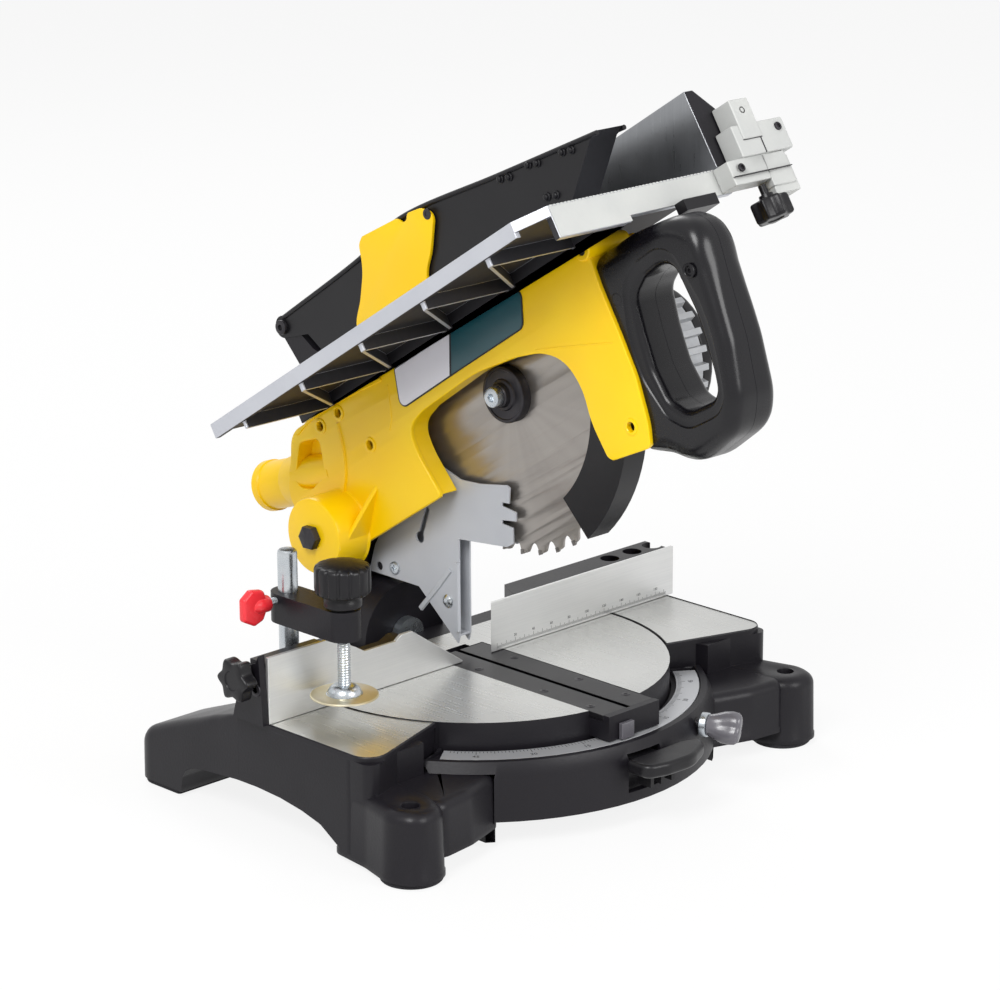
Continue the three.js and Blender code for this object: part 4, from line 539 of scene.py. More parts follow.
makeFinish("red", mouldedPlastic, "redPlastic", colour="#F0303A", shade="#D8242E", rubbed="#FF7A7E",
           rough=0.34, coat=0.3)
makeFinish("rubber", mouldedPlastic, "footRubber", colour="#27262A", shade="#1E1D20",
           rubbed="#3A393D", rough=0.85, grain=0.5, grainScale=900)
makeFinish("ink", mouldedPlastic, "scaleInk", colour="#26262A", shade="#1E1E22", rubbed="#3A3A40",
           rough=0.6)
for key, colour, shade, rubbed in [("labelWhite", "#EDEBF2", "#E2E1EA", "#F8F8FA"),
                                   ("labelTeal", "#14505A", "#0E434D", "#2E6F7A")]:
    makeFinish(key, mouldedPlastic, key, colour=colour, shade=shade, rubbed=rubbed, rough=0.3,
               coat=0.6,
               grain=0.03)
makeFinish("machined", machinedTop, "milledCasting", **blackPaint, metal="#DCDCD9",
           metalShade="#C2C3C2",
           height=0.0846, back=0.075, front=-0.131, stretch=(1, 60, 60))
# upper table: milled metal, with two dark colours that are painted shade under the plate and
# between the ribs
makeFinish("ribbedMetal", ribbedMetal, "upperTableMetal", colour="#D2D4DA", shade="#B8BBC4",
           dark="#2A292D", darkShade="#1E1D21", stretch=(1, 50, 50), rough=0.42, metal=0.7,
           plate=0.0958, face=0.101, ribs=0.0875, left=-0.1185, right=0.0735, front=-0.4255)
for key, name, colour, shade, stretch, rough, metal in [
    ("extrusion", "extrudedAluminium", "#A9ABAE", "#8B8D91", (60, 1, 60), 0.3, 0.95),
    ("faceMetal", "fenceAluminium", "#E2E2E0", "#C6C7C8", (60, 60, 1), 0.4, 0.85),
    ("scaleMetal", "scaleAluminium", "#C3C4C7", "#A9ABAF", (60, 60, 1), 0.45, 0.5),
    ("steel", "groundSteel", "#B4AFA9", "#98948F", (1, 40, 40), 0.34, 0.85),
]:
    makeFinish(key, brushedMetal, name, colour=colour, shade=shade, stretch=stretch, rough=rough,
               metal=metal)
makeFinish("whiteCast", sandCasting, "whiteCasting", colour="#C6C7C4", shade="#B4B6B5", rough=0.5,
           metal=0.1, grain=0.15)
makeFinish("motorCast", sandCasting, "motorCasting", colour="#B9BBBE", shade="#9C9EA3", rough=0.5,
           metal=0.55)
makeFinish("zinc", platedSteel, "zincPlating", colour="#CDD1D4", shade="#B4BBC2", rough=0.26)
makeFinish("zincYellow", platedSteel, "yellowZinc", colour="#D6CFBA", shade="#C9BC93", rough=0.36,
           patch=30, metal=0.8)
makeFinish("darkSteel", platedSteel, "blackOxide", colour="#2C2A2E", shade="#3B393D", rough=0.38,
           metal=0.6)
makeFinish("carbide", platedSteel, "carbide", colour="#8E8B88", shade="#6F6C6A", rough=0.45,
           metal=0.8)
print("materials:", len(finishes))


# ---- pieces

bodyOf = {node: body for body, nodes in frame["record"]["behaviour"]["bodies"].items()
          for node in nodes}
slotOf = {row["node"]: row["material_slot"] for row in frame["record"]["subparts"]}


def intoScene(name, data):
    made = bpy.data.objects.new(name, data)
    bpy.context.scene.collection.objects.link(made)
    return made


def finishPiece(name, mesh, finish, body, slot, replaced, rounding):
    # the mesh in its finish, its edges rounded by a width of mm above an angle, on its body
    width, angle = rounding
    mesh.materials.clear()
    mesh.materials.append(finishes[finish])
    mesh.shade_smooth()
    piece = intoScene(name, mesh)
    if width:
        edges = piece.modifiers.new("edges", "BEVEL")
        edges.width, edges.segments, edges.use_clamp_overlap = width * 0.001, 2, True
        edges.limit_method, edges.angle_limit = "ANGLE", math.radians(angle)
        piece.modifiers.new("normals", "WEIGHTED_NORMAL").keep_sharp = False
    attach(piece, body)
    if replaced:
        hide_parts(replaced)
    return piece


def makePiece(name, form, place, finish, like, replace=False, angle=32, bevel=0.0):
    # it rides with the body of the node that it is like, or with the body of a (body, slot) pair,
    # and may stand for the node
    body, slot = like if isinstance(like, tuple) else (bodyOf[like], slotOf[like])
    turn, origin = place
    mesh = bpy.data.meshes.new(name)
    mesh.from_pydata((form.points * 0.001) @ turn.T + origin, [], form.faces)
    work = bmesh.new()
    work.from_mesh(mesh)
    bmesh.ops.remove_doubles(work, verts=work.verts, dist=1e-6)
    bmesh.ops.recalc_face_normals(work, faces=work.faces)
    work.to_mesh(mesh)
    work.free()
    piece = finishPiece(name, mesh, finish, body, slot, like if replace else None, (bevel, angle))
    mesh.set_sharp_from_angle(angle=math.radians(angle))
    return piece


def refined(node, finish, width, keep=None, cuts=()):
    # the solid's loose triangles merged, its flat faces made whole and its edges rounded
    mesh = frame["nodes"][node].data.copy()
    work = bmesh.new()
    work.from_mesh(mesh)
    bmesh.ops.remove_doubles(work, verts=work.verts, dist=2e-6)
    for place, normal in cuts:
        bmesh.ops.bisect_plane(work, geom=work.verts[:] + work.edges[:] + work.faces[:],
                               plane_co=place, plane_no=normal)
    if keep:
        away = [face for face in work.faces if not keep(face.calc_center_median())]
        bmesh.ops.delete(work, geom=away, context="FACES")
    bmesh.ops.dissolve_limit(work, angle_limit=math.radians(0.6), verts=work.verts,
                             edges=work.edges)
    work.to_mesh(mesh)
    work.free()
    if "custom_normal" in mesh.attributes:
        mesh.attributes.remove(mesh.attributes["custom_normal"])
    return finishPiece(node + "_shape", mesh, finish, bodyOf[node], slotOf[node], node, (width, 32))


for node, finish, width in [
    ("turntable", "machined", 0.8), ("tilt_bracket", "castBlack", 2.0),
                            ("fence_left", "castBlack", 1.5),
    ("fence_right", "castBlack", 1.5), ("clamp_arm", "castBlack", 2.0),
                            ("hood_bracket", "castBlack", 1.5),
    ("hood", "plastic", 1.2), ("lower_guard", "plastic", 0.8), ("motor_housing", "motorCast", 0.8),
    ("motor_end_cover", "plastic", 2.0), ("rip_fence", "extrusion", 0.6),
                            ("table_latch", "plastic", 1.2),
    ("mitre_pointer", "smoke", 0.5), ("bevel_lock_lever", "plastic", 1.5),
                            ("kerf_insert_left", "plastic", 0.5),
    ("kerf_insert_right", "plastic", 0.5), ("fence_left_face", "faceMetal", 0.4),
    ("fence_right_face", "faceMetal", 0.4), ("mitre_scale", "scaleMetal", 0.4),
]:
    refined(node, finish, width)
for finish, nodes in {  # solids that keep their shape
    "zinc": ["turntable_bolt", "bevel_pin", "table_post_front", "table_post_rear"],
    "plastic": ["switch_box"],
    "steel": ["motor_stator", "motor_rotor", "arbor_bearing", "arbor_shaft", "inner_flange",
              "trigger_pin"],
}.items():
    for node in nodes:
        mesh = frame["nodes"][node].data
        mesh.materials.clear()
        mesh.materials.append(finishes[finish])

# the upper table's long rib ends level with its cross ribs, above the head's casting
tableRibs = {"below": 0.076, "level": 0.0868}
tableMesh = refined("upper_table", "ribbedMetal", 0.6).data
points = np.zeros(len(tableMesh.vertices) * 3)
tableMesh.vertices.foreach_get("co", points)
points = points.reshape(-1, 3)
heights = (points - headPivot) @ headUp
lift = np.where(heights < tableRibs["below"], tableRibs["level"] - heights, 0)
tableMesh.vertices.foreach_set("co", (points + lift[:, None] * headUp).ravel())
print("castings refined")


# ---- saw blade: plate with round gullets, relief slots and carbide tips

blade = {"arbor": (-208.3, 27.9), "radius": 124.6, "gullet": 9.0, "teeth": 40, "half": 0.9,
         "bore": 9.0,
         "tipHalf": 1.45, "slotInner": 88.0, "slotOuter": 106.0, "slots": 5}


def bladeForm():
    # one tooth's radius over its pitch, repeated round the rim; each slot is a thin bent strip
    turn = np.array([0, 0.02, 0.045, 0.08, 0.13, 0.2, 0.28, 0.36, 0.45, 0.53, 0.6, 0.7, 0.85, 0.97])
    rise = np.array([1, 0.75, 0.45, 0.2, 0.06, 0, 0.02, 0.1, 0.3, 0.56, 0.76, 0.84, 0.9, 0.98])
    pitch = 2 * math.pi / blade["teeth"]
    angle = ((np.arange(blade["teeth"])[:, None] + turn[None]) * pitch).ravel()
    radius = np.tile(blade["radius"] - blade["gullet"] * (1 - rise), blade["teeth"])
    rim = np.column_stack([np.cos(angle), np.sin(angle)]) * radius[:, None]
    loops = [rim, circle((0, 0), blade["bore"])]
    t = np.linspace(0, 1, 14)
    for k in range(blade["slots"]):
        middle = 2 * math.pi * (k + 0.3) / blade["slots"] + 0.16 * t ** 1.6
        away = blade["slotInner"] + (blade["slotOuter"] - blade["slotInner"]) * t
        line = np.column_stack([np.cos(middle), np.sin(middle)]) * away[:, None]
        across = np.gradient(line, axis=0)[:, ::-1] * [-1, 1]
        across /= np.linalg.norm(across, axis=1)[:, None]
        width = np.where(t < 0.12, 1.5, 0.45)[:, None]
        loops.append(np.vstack([line + across * width, (line - across * width)[::-1]]))
    return plate(loops, -blade["half"], blade["half"], 0.15, 1)


def tipForm():
    # a small wedge on the face of every tooth, a little wider than the plate
    pitch = 2 * math.pi / blade["teeth"]
    first = np.arange(blade["teeth"])[:, None] * pitch
    angle = first + np.array([-0.13, 0.03, 0.035, -0.06]) * pitch
    radius = blade["radius"] + np.array([-3.2, -3.6, 0.3, 0.0])[None] * np.ones_like(first)
    flat = np.stack([np.cos(angle) * radius, np.sin(angle) * radius], axis=-1)
    low, high = [np.concatenate(
        [flat, np.full(flat.shape[:2] + (1,), side * blade["tipHalf"])], axis=-1)
        for side in (-1, 1)]
    points = np.concatenate([low, high], axis=1).reshape(-1, 3)
    return Form(points, boxFaces(len(first)))


def onArbor(name, form, finish, node, replace=True):
    makePiece(name, form.along("x").moved((0, *blade["arbor"])), headFrame, finish, node, replace)


arborPlace = headPivot + headFrame[0] @ (np.array([0, *blade["arbor"]]) * 0.001)
makeFinish("blade", groundBlade, "bladeSteel", colour="#ABA6A1", shade="#85807C", centre=arborPlace)
onArbor("blade_plate_disc", bladeForm(), "blade", "saw_blade")
onArbor("carbide_tips", tipForm(), "carbide", "saw_blade", False)

flange = {"radius": 22.0, "nose": 9.0, "rim": 1.6, "near": -1.2, "face": -9.0, "end": -15.0}


def flangeForm():
    # a dished disc with a raised rim and a stepped nose
    radius, nose, rim, near, face, end = flange.values()
    rows = [(0, near), (radius, near), (radius, face + 1.2), (radius - 0.5, face + 0.3),
            (radius - 1.2, face), (radius - rim - 1, face), (radius - rim - 1.6, face + 0.8),
            (nose + 3.4, face + 0.8), (nose + 2.6, face - 0.6), (nose + 0.6, face - 1.2),
            (nose, end + 0.9), (nose - 0.8, end), (0, end)]
    return turned(rows, 64)


onArbor("flange_disc", flangeForm(), "darkSteel", "outer_flange")
boltHead = screwHead(7.6, 6.2, 3.6, 3.2, 6, 0.7).flipped(2).moved((0, 0, flange["end"] - 0.3))
onArbor("arbor_screw", boltHead + rod(4, flange["end"] - 0.5, 20, 24), "zinc", "arbor_bolt")
print("blade made")

# ---- the head's own outlines: shares of the arbor's reach and of the table's rise

reach, rise = 208.3, 104.0


def headLoop(shares, radius=0.0, steps=6):
    corners = [(c[0] * reach, c[1] * rise, c[2] * rise if len(c) > 2 else radius) for c in shares]
    return softLoop(corners, steps=steps)


def barAlong(start, end, form):
    # a form about the third axis, laid along a line in the head's plane
    (y0, z0), (y1, z1) = start, end
    lean = math.degrees(math.atan2(z1 - z0, y1 - y0))
    return form.along("y").spun(lean, "x").moved((0, y0, z0))


casting = {
    "half": 28.0, "wall": 3.4, "edge": 1.0, "rim": 4.5, "gap": 9.0, "bladeClear": 136.0,
    "outline": [(-1.765, 0.846, 0.05), (-1.752, 0.524, 0.5), (-1.749, 0.15, 0.6),
                (-1.743, -0.154, 0.6), (-1.709, -0.488, 0.5), (-1.675, -0.635, 0.06),
                (-1.465, -0.577, 0.07), (-1.455, -0.264, 0.8), (-1.482, -0.035, 0.9),
                (-1.453, 0.202, 0.9), (-1.365, 0.34, 0.9), (-1.224, 0.412, 0.9),
                (-0.997, 0.472, 1.2), (-0.667, 0.441, 0.35), (-0.562, 0.389, 0.3),
                (-0.552, 0.2, 0.8), (-0.585, -0.179, 0.03), (-0.084, -0.192, 0.1), (0, -0.192, 0.1),
                (0.134, -0.048, 0.2), (0.242, 0.431, 0.5), (0.134, 0.666, 0.4), (0.07, 0.846, 0.2)],
    "cheek": 31.0, "pocketDepth": 13.0, "cheekEnd": 60.0,
    "pocket": [(0.17, 0.47, 0.16), (0.045, 0.745, 0.08), (-0.07, 0.69, 0.05), (-0.02, 0.42, 0.12),
               (0.08, 0.38, 0.12)],
    "holes": [(-47.7, 80.7), (-21.9, 79.2), (-68.3, 45.1), (-339.6, -45.8)],
    "hole": 3.7, "collar": 6.4,
    "nose": 26.3, "seat": 64.0,
    "tube": ((26.0, 49.0), (97.1, 67.0)), "tubeOuter": 21.0, "tubeInner": 18.0,
    "cross": (-364.0, 83.5), "crossRadius": 8.0, "openFrom": 16, "openTo": 19,
}


def ringForm(outer, inner, low, high, edge=0.6, steps=40):
    # a short tube: its section's outline carried round the axis
    e = edge
    return turned([(inner, low), (outer - e, low), (outer, low + e), (outer, high - e),
                   (outer - e * 0.3, high - e * 0.3),
                   (outer - e, high), (inner + e, high), (inner, high - e)], steps, ring=True)


def openSkirt(loop, low, high, first, last):
    # a strip of wall along part of the outline, its thickness turned inwards
    part = np.arange(first, last) % len(loop)
    outside, inside = insetLoop(loop, 1.2)[part], insetLoop(loop, casting["rim"])[part]
    section = [(outside, low), (outside, high), (inside, high), (inside, low)]
    points = np.stack([np.column_stack([side, np.full(len(side), h)]) for side, h in section],
                      axis=1)
    return gridForm(points)


def castingForm():
    c = casting
    half, wall, gap, deep = c["half"], c["wall"] + 1, c["gap"], c["pocketDepth"] - c["half"]
    outline, pocket = headLoop(c["outline"]), headLoop(c["pocket"])
    holes = [circle(place, c["hole"], 24) for place in c["holes"]]
    left = plate([outline, pocket] + holes, -half, -half + wall, c["edge"], 4)
    right = plate([outline] + holes, half - wall, half, c["edge"], 4)
    corners = [np.array(c["outline"][c[key]][:2]) * (reach, rise) for key in ("openTo", "openFrom")]
    first, last = [int(np.argmin(np.linalg.norm(outline - corner, axis=1))) for corner in corners]
    last += len(outline) + 1
    # the skirt is whole at both sides, and open in the middle where the blade and its plates pass
    away = np.linalg.norm(outline - blade["arbor"], axis=1)[np.arange(first, last) % len(outline)]
    clear = first + np.flatnonzero(away > c["bladeClear"])
    runs = [run for run in np.split(clear, np.flatnonzero(np.diff(clear) > 1) + 1) if len(run) > 2]
    skirt = [openSkirt(outline, 1.5 - half, -gap, first, last),
             openSkirt(outline, gap, half - 1.5, first, last)]
    skirt += [openSkirt(outline, -gap - 0.3, gap + 0.3, run[0], run[-1] + 1) for run in runs]
    # the pocket's wall and floor, with the bulge of the pivot's tunnel across it
    side = gridForm(np.stack([np.column_stack([insetLoop(pocket, draw), np.full(len(pocket), h)])
                              for draw, h in
                              [(-1.5, 2 - half), (0, 2.2 - half), (1.5, deep)]]), lids=False)
    floor = plate([insetLoop(pocket, -2)], deep, deep + 1.5)
    cheek = turned([(0, 0), (c["cheek"] + 1.2, 0), (c["cheek"], 2), (c["cheek"], 28.5),
                    (c["cheek"] - 1, 31),
                    (c["cheek"] - 3.4, 32), (0, 32)], 72).moved((0, 0, half - 0.5))
    seat = plate([circle(blade["arbor"], c["seat"], 72), circle(blade["arbor"], c["nose"], 48)],
                 half - 3.2, half + 0.2, 1.0)
    forms = [form.along("x") for form in [left, right, *skirt, side, floor, seat]]
    forms += [bothSides(cheek.along("x")),
              barAlong((-8, 44), (36, 58), rod(15, 0, 46, 40)).moved((-13.5, 0, 0))]
    rim = ringForm(c["collar"], c["hole"], half - 1.5, half + 0.9).along("x")
    forms += [bothSides(rim.moved((0, y, z))) for y, z in c["holes"]]
    outer, inner, length = c["tubeOuter"], c["tubeInner"], math.dist(*c["tube"])
    tube = turned([(inner, 4), (outer, 0), (outer, length * 0.5), (outer - 0.3, length * 0.5 + 0.6),
                   (outer - 1.2, length * 0.5 + 1.2), (outer - 1.2, length - 9),
                   (outer, length - 8),
                   (outer, length - 1.4), (outer - 1, length), (inner + 0.8, length),
                   (inner, length - 1)],
                  56, ring=True)
    outer = c["crossRadius"]
    boss = turned([(4.2, -30), (outer - 0.8, -30), (outer, -29.2), (outer, 14), (4.2, 14)], 36,
                  ring=True)
    return together(forms + [barAlong(*c["tube"], tube), boss.along("x").moved((0, *c["cross"]))])


def finForm(foot, tip, spread=4.0):
    # a three-cornered fin that rises from the casting's face to the cheek
    foot, tip = np.array(foot, float), np.array(tip, float)
    across = (tip - foot)[::-1] * [-1, 1]
    across = across / np.linalg.norm(across) * spread / 2
    face, out = casting["half"] - 1.0, casting["cheekEnd"] - 5
    flat = [(face, foot), (face, tip), (out, tip * 0.97 + foot * 0.03),
            (out, tip * 0.8 + foot * 0.2)]
    return gridForm(np.array([[(x, *(p + across * k)) for x, p in flat] for k in (-1, 1)]))


def strip(path, x, width, height):
    # a thin raised line: a low flat section carried along the path on the casting's face
    path = np.asarray(path, float)
    ahead = np.gradient(path, axis=0)
    across = ahead[:, ::-1] * [-1, 1]
    across /= np.linalg.norm(across, axis=1)[:, None]
    section = [(-0.5, 0), (-0.32, 1), (0.32, 1), (0.5, 0)]
    points = np.stack([np.column_stack([np.full(len(path), x - height * up),
                                        path + across * width * side])
                       for side, up in section], axis=1)
    return gridForm(points)


def curveThrough(places, count=24):
    # a smooth line near the places: each coordinate eased between neighbours
    places = np.asarray(places, float)
    t = np.linspace(0, len(places) - 1, count)
    k = np.clip(t.astype(int), 0, len(places) - 2)
    f = (t - k)[:, None]
    ends = np.vstack([2 * places[0] - places[1], places, 2 * places[-1] - places[-2]])
    a, b, c, d = ends[k], ends[k + 1], ends[k + 2], ends[k + 3]
    square, cube = 2 * a - 5 * b + 4 * c - d, 3 * b - a - 3 * c + d
    return 0.5 * (2 * b + (c - a) * f + square * f ** 2 + cube * f ** 3)


makePiece("head_shell", castingForm(), headFrame, "yellow", "head_casting", True, angle=28)
makePiece("pivot_fins", bothSides(finForm((-58, 16), (-10, -28))), headFrame, "yellow",
          "head_casting", bevel=1.0)
lines = together([strip(curveThrough(places), -casting["half"], width, height)
                  for places, width, height in [
    ([(-279, 39.5), (-318, 27), (-356, 14)], 0.9, 0.35),
    ([(-42, 74), (-36, 52), (-28, 36), (-18, 24)], 3.4, 1.6),
    ([(-110, 84.5), (-60, 88), (-20, 88.5), (8, 84)], 2.6, 1.2),
    ([(-114, 78), (-104, 56), (-96, 47)], 1.4, 0.5),
]])
makePiece("casting_lines", lines, headFrame, "yellow", "head_casting")
plug = rod(4.4, -0.6, 0.4).along("x").moved((-28.4, *casting["cross"]))
makePiece("casting_plug", plug, headFrame, "ink", "head_casting")
hexagon = screwHead(10, 6, body=polygonShape(6), crown=1.08, steps=72)
hexagon = hexagon.moved((0, 0, 60.2)).along("x")
makePiece("pivot_bolt", rod(8, -60.2, 60.2).along("x") + bothSides(hexagon), headFrame, "darkSteel",
          "head_pivot_bolt", True)

label = {
    "edging": 28.85, "face": 28.97, "margin": 1.1,
    "outline": [(-0.617, 0.827, 0.03), (-1.368, 0.832, 0.05), (-1.39, 0.779, 0.05),
                (-1.33, 0.558, 0.08), (-0.927, 0.546, 0), (-0.562, 0.529, 0.06)],
    "pale": [(-0.617, 0.827, 0.03), (-0.975, 0.83, 0), (-0.885, 0.545, 0), (-0.562, 0.529, 0.06)],
    "dark": [(-0.975, 0.83, 0), (-1.368, 0.832, 0.05), (-1.39, 0.779, 0.05), (-1.33, 0.558, 0.08),
             (-0.885, 0.545, 0)],
}
edging = plate([headLoop(label["outline"])], -label["edging"], -28.1, 0.1, 1)
makePiece("label_edge", edging.along("x"), headFrame, "ink", "label_plate", True)
for key, finish in (("pale", "labelWhite"), ("dark", "labelTeal")):
    field = plate([insetLoop(headLoop(label[key]), label["margin"])], -label["face"],
                  -28.8).along("x")
    makePiece(f"label_{key}", field, headFrame, finish, "label_plate")
print("head casting made")

# ---- handle: two moulded halves round a D opening, each a rounded section carried round it

grip = {
    "half": 24.0, "barHalf": 21.0, "outerRound": 15.0, "innerRound": 6.5,
    "ledge": 6.0, "drop": 1.6, "seam": 0.18,
    "centre": (-1.935, -0.06),
    "outer": [(-1.60, 0.72, 0.05), (-1.92, 0.745, 0.2), (-2.151, 0.692, 0.22), (-2.223, 0.577, 0.2),
              (-2.232, 0.442, 0.2), (-2.199, 0.096, 0.6), (-2.17, -0.26, 0.6),
              (-2.112, -0.635, 0.3), (-2.036, -0.827, 0.25), (-1.805, -0.885, 0.3),
              (-1.71, -0.731, 0.15), (-1.60, -0.62, 0.05)],
    "inner": [(-2.069, 0.452, 0.12), (-1.93, 0.423, 0.15), (-1.853, 0.346, 0.15),
              (-1.824, 0.096, 0.3), (-1.805, -0.154, 0.3), (-1.815, -0.404, 0.16),
              (-1.872, -0.538, 0.15), (-2.036, -0.558, 0.16), (-2.055, -0.365, 0.2),
              (-2.074, -0.048, 0.4)],
}


def rayLengths(loop, centre, angle):
    away = evenLoop(loop, 900) - centre
    bearing, length = np.arctan2(away[:, 1], away[:, 0]), np.linalg.norm(away, axis=1)
    order = np.argsort(bearing)
    return np.interp(angle, bearing[order], length[order], period=2 * math.pi)


def handleForm(side):
    g = grip
    centre = np.array([g["centre"][0] * reach, g["centre"][1] * rise])
    angle = np.linspace(-math.pi, math.pi, 220, endpoint=False)
    outside = rayLengths(headLoop(g["outer"]), centre, angle)
    inside = rayLengths(headLoop(g["inner"]), centre, angle)
    smooth = np.array([0.25, 0.5, 0.25])
    for _ in range(2):
        outside = np.convolve(np.pad(outside, 1, mode="wrap"), smooth, "valid")
    width = outside - inside
    front = np.clip((-(centre[0] + outside * np.cos(angle)) - 425) / 35, 0, 1)
    half = g["half"] - (g["half"] - g["barHalf"]) * front * front * (3 - 2 * front)
    outer = np.minimum(g["outerRound"], width * 0.42)
    inner = np.minimum(g["innerRound"], width * 0.22)
    quarter = list(zip(*quarterTurn(8)))
    ledge, drop = g["ledge"], g["drop"]
    flat, zero = np.zeros_like(width), np.full_like(width, g["seam"])
    section = [(flat, zero), (flat, (half - outer) * 0.5)]
    section += [(outer * lift, half - outer * draw) for draw, lift in quarter]
    section += [(width - inner - ledge, half), (width - inner - ledge + 0.9, half - drop * 0.75),
                (width - inner - ledge + 1.8, half - drop)]
    section += [(width - inner * draw, half - drop - inner * lift) for draw, lift in quarter]
    section += [(width, zero)]
    away = np.stack([outside - d for d, x in section])
    across = np.stack([x * side for d, x in section])
    points = np.stack([across, centre[0] + away * np.cos(angle), centre[1] + away * np.sin(angle)],
                      axis=-1)
    return gridForm(points, wrapAlong=True)


for side, word in ((-1, "left"), (1, "right")):
    makePiece(f"grip_{word}", handleForm(side), headFrame, "grip", f"handle_{word}", True, angle=50)
grip["screws"] = [((-447.3, 30.4), 22.4, 24.1, 20.6), ((-372, 40), 23.0, 24.05, 21.4)]
gripScrew = screwHead(3.4, 2.0, 1.9, 1.4, 6, 0.5)
gripScrews = [onLeft(ringForm(5.4, 3.6, low, high, 0.5) + gripScrew.moved((0, 0, deep)),
                     (0, *place))
              for place, low, high, deep in grip["screws"]]
makePiece("grip_screws", together(gripScrews), headFrame, "plastic", "handle_left")
triggerLoop = headLoop([(-2.10, 0.43, 0.04), (-2.03, 0.385, 0.04), (-2.026, 0.31, 0.05),
                        (-2.042, 0.235, 0.06), (-2.036, 0.15, 0.06), (-2.045, 0.09, 0.05),
                        (-2.146, 0.087, 0.03), (-2.156, 0.288, 0.03)])
makePiece("trigger_blade", slab(triggerLoop, -8, 8, 1.8, 4).along("x"), headFrame, "plastic",
          "trigger", True)
print("handle made")

# ---- screw clamp

clampAt, columnAt = (-164.5, -27.0), (-164.5, 34.0)
clampLook = {"knob": 21.0, "low": 181.0, "high": 205.0, "flutes": 14, "flute": 0.055, "dome": 1.6,
             "wingAt": 164.7, "screw": 5.0, "pitch": 2.0, "thread": 0.55, "foot": 25.5,
             "footDome": 13.0}


def knobForm():
    # a drum whose side waves round the axis, flat flutes between wide lobes, under a low dome
    k = clampLook
    r, low, high = k["knob"], k["low"], k["high"]
    rows = [(0, low), (r * 0.72, low), (r * 0.9, low + 0.8), (r - 0.4, low + 2.4), (r, low + 4.5),
            (r, high - 4.6),
            (r - 0.5, high - 2.8), (r - 1.8, high - k["dome"] - 0.1),
            (r - 3.6, high - k["dome"] * 0.7),
            (r * 0.5, high - 0.3), (0, high)]

    def fluted(angle, profile):
        wave = np.clip(-np.cos(angle * k["flutes"]) * 2.2 - 0.9, 0, 1)
        reachOut = np.clip((profile[:, :1] / r - 0.75) / 0.2, 0, 1)
        return 1 - k["flute"] * wave * reachOut
    neck = turned([(5.2, 172), (13.5, 172), (14.2, 172.8), (14.2, 177), (13, 178.5), (13, 181.5),
                   (5.2, 181.5)], 40, ring=True)
    return turned(rows, 168, fluted) + neck


def threadForm(low, high, radius, pitch, depth, steps=20, per=8):
    # the radius falls and rises once for each pitch, shifted with the turn so that it winds
    rows = int((high - low) / pitch * per)
    height = np.linspace(low, high, rows)[:, None]
    angle = np.linspace(0, 2 * math.pi, steps, endpoint=False)[None]
    phase = (height / pitch - angle / (2 * math.pi)) % 1
    size = radius - depth * (1 - np.abs(2 * phase - 1)) * np.clip((height - low) / 2, 0, 1)
    points = np.stack([size * np.cos(angle), size * np.sin(angle), height * np.ones_like(angle)],
                      axis=-1)
    return gridForm(points)


def footDisc():
    # a thin dished disc with a rolled rim
    r = clampLook["foot"]
    return turned([(0, 102), (r - 1, 102), (r, 102.4), (r, 103.2), (r - 0.6, 103.8), (r - 3, 104.1),
                   (0, 104.1)], 64)


def footDome():
    # the pressed socket that the screw turns in: a skirt that flows into a dome
    d = clampLook["footDome"]
    t = np.linspace(0, 1, 9)
    dome = [(d * (1 - 0.62 * a ** 1.6), 104.3 + 7.0 * math.sin(a * math.pi / 2)) for a in t]
    return turned([(0, 103.9), (d + 1.5, 103.9)] + dome + [(0, 111.5)], 56)


def onClamp(name, form, finish, like, replace=True, at=clampAt, angle=32):
    makePiece(name, form.moved((*at, 0)), sawFrame, finish, like, replace, angle)


onClamp("clamp_knob_drum", knobForm(), "plastic", "clamp_knob", angle=40)
screwForm = threadForm(106, 176, clampLook["screw"], clampLook["pitch"], clampLook["thread"])
onClamp("clamp_thread", screwForm + rod(4.9, 175, 188, 24), "zinc", "clamp_screw")
onClamp("clamp_disc", footDisc(), "zincYellow", "clamp_foot")
onClamp("clamp_dome", footDome(), "zinc", "clamp_foot", False)
onClamp("clamp_collar", ringForm(8.4, 5.2, 170.1, 171.8, 0.4), "zinc", ("clamp_carrier", "zinc"),
        False)
columnForm = turned([(0, 88.7), (7.5, 88.7), (7.5, 199.2), (7.1, 201), (6, 202.1), (4.6, 202.4),
                     (0, 202.4)], 40)
onClamp("clamp_post", columnForm, "zinc", "clamp_column", at=columnAt)
wingLoop = softLoop([(-210.4, 172.5, 3), (-202, 178.6, 3), (-190.5, 176.5, 4), (-187.8, 170, 3),
                     (-187.8, 160, 3), (-191, 153.2, 4), (-199.5, 150.3, 3), (-210.4, 156, 3)])
flatWing = slab(wingLoop, -3.4, 3.4, 2.2, 4)
wingHead = flatWing.upright().moved((0, columnAt[1], 0))
wingAxis = (0, columnAt[1], clampLook["wingAt"])
hub = turned([(0, -200), (4, -200), (6.2, -196), (6.4, -185.4), (5.8, -184.6), (0, -184.6)], 32)
makePiece("wing_head", wingHead + hub.along("x").moved(wingAxis), sawFrame, "red",
          "clamp_wing_screw", True, angle=40)
makePiece("wing_stud", threadForm(-186, -173, 3, 1.4, 0.35).along("x").moved(wingAxis), sawFrame,
          "zinc", "clamp_wing_screw")
print("clamp made")

# ---- knobs


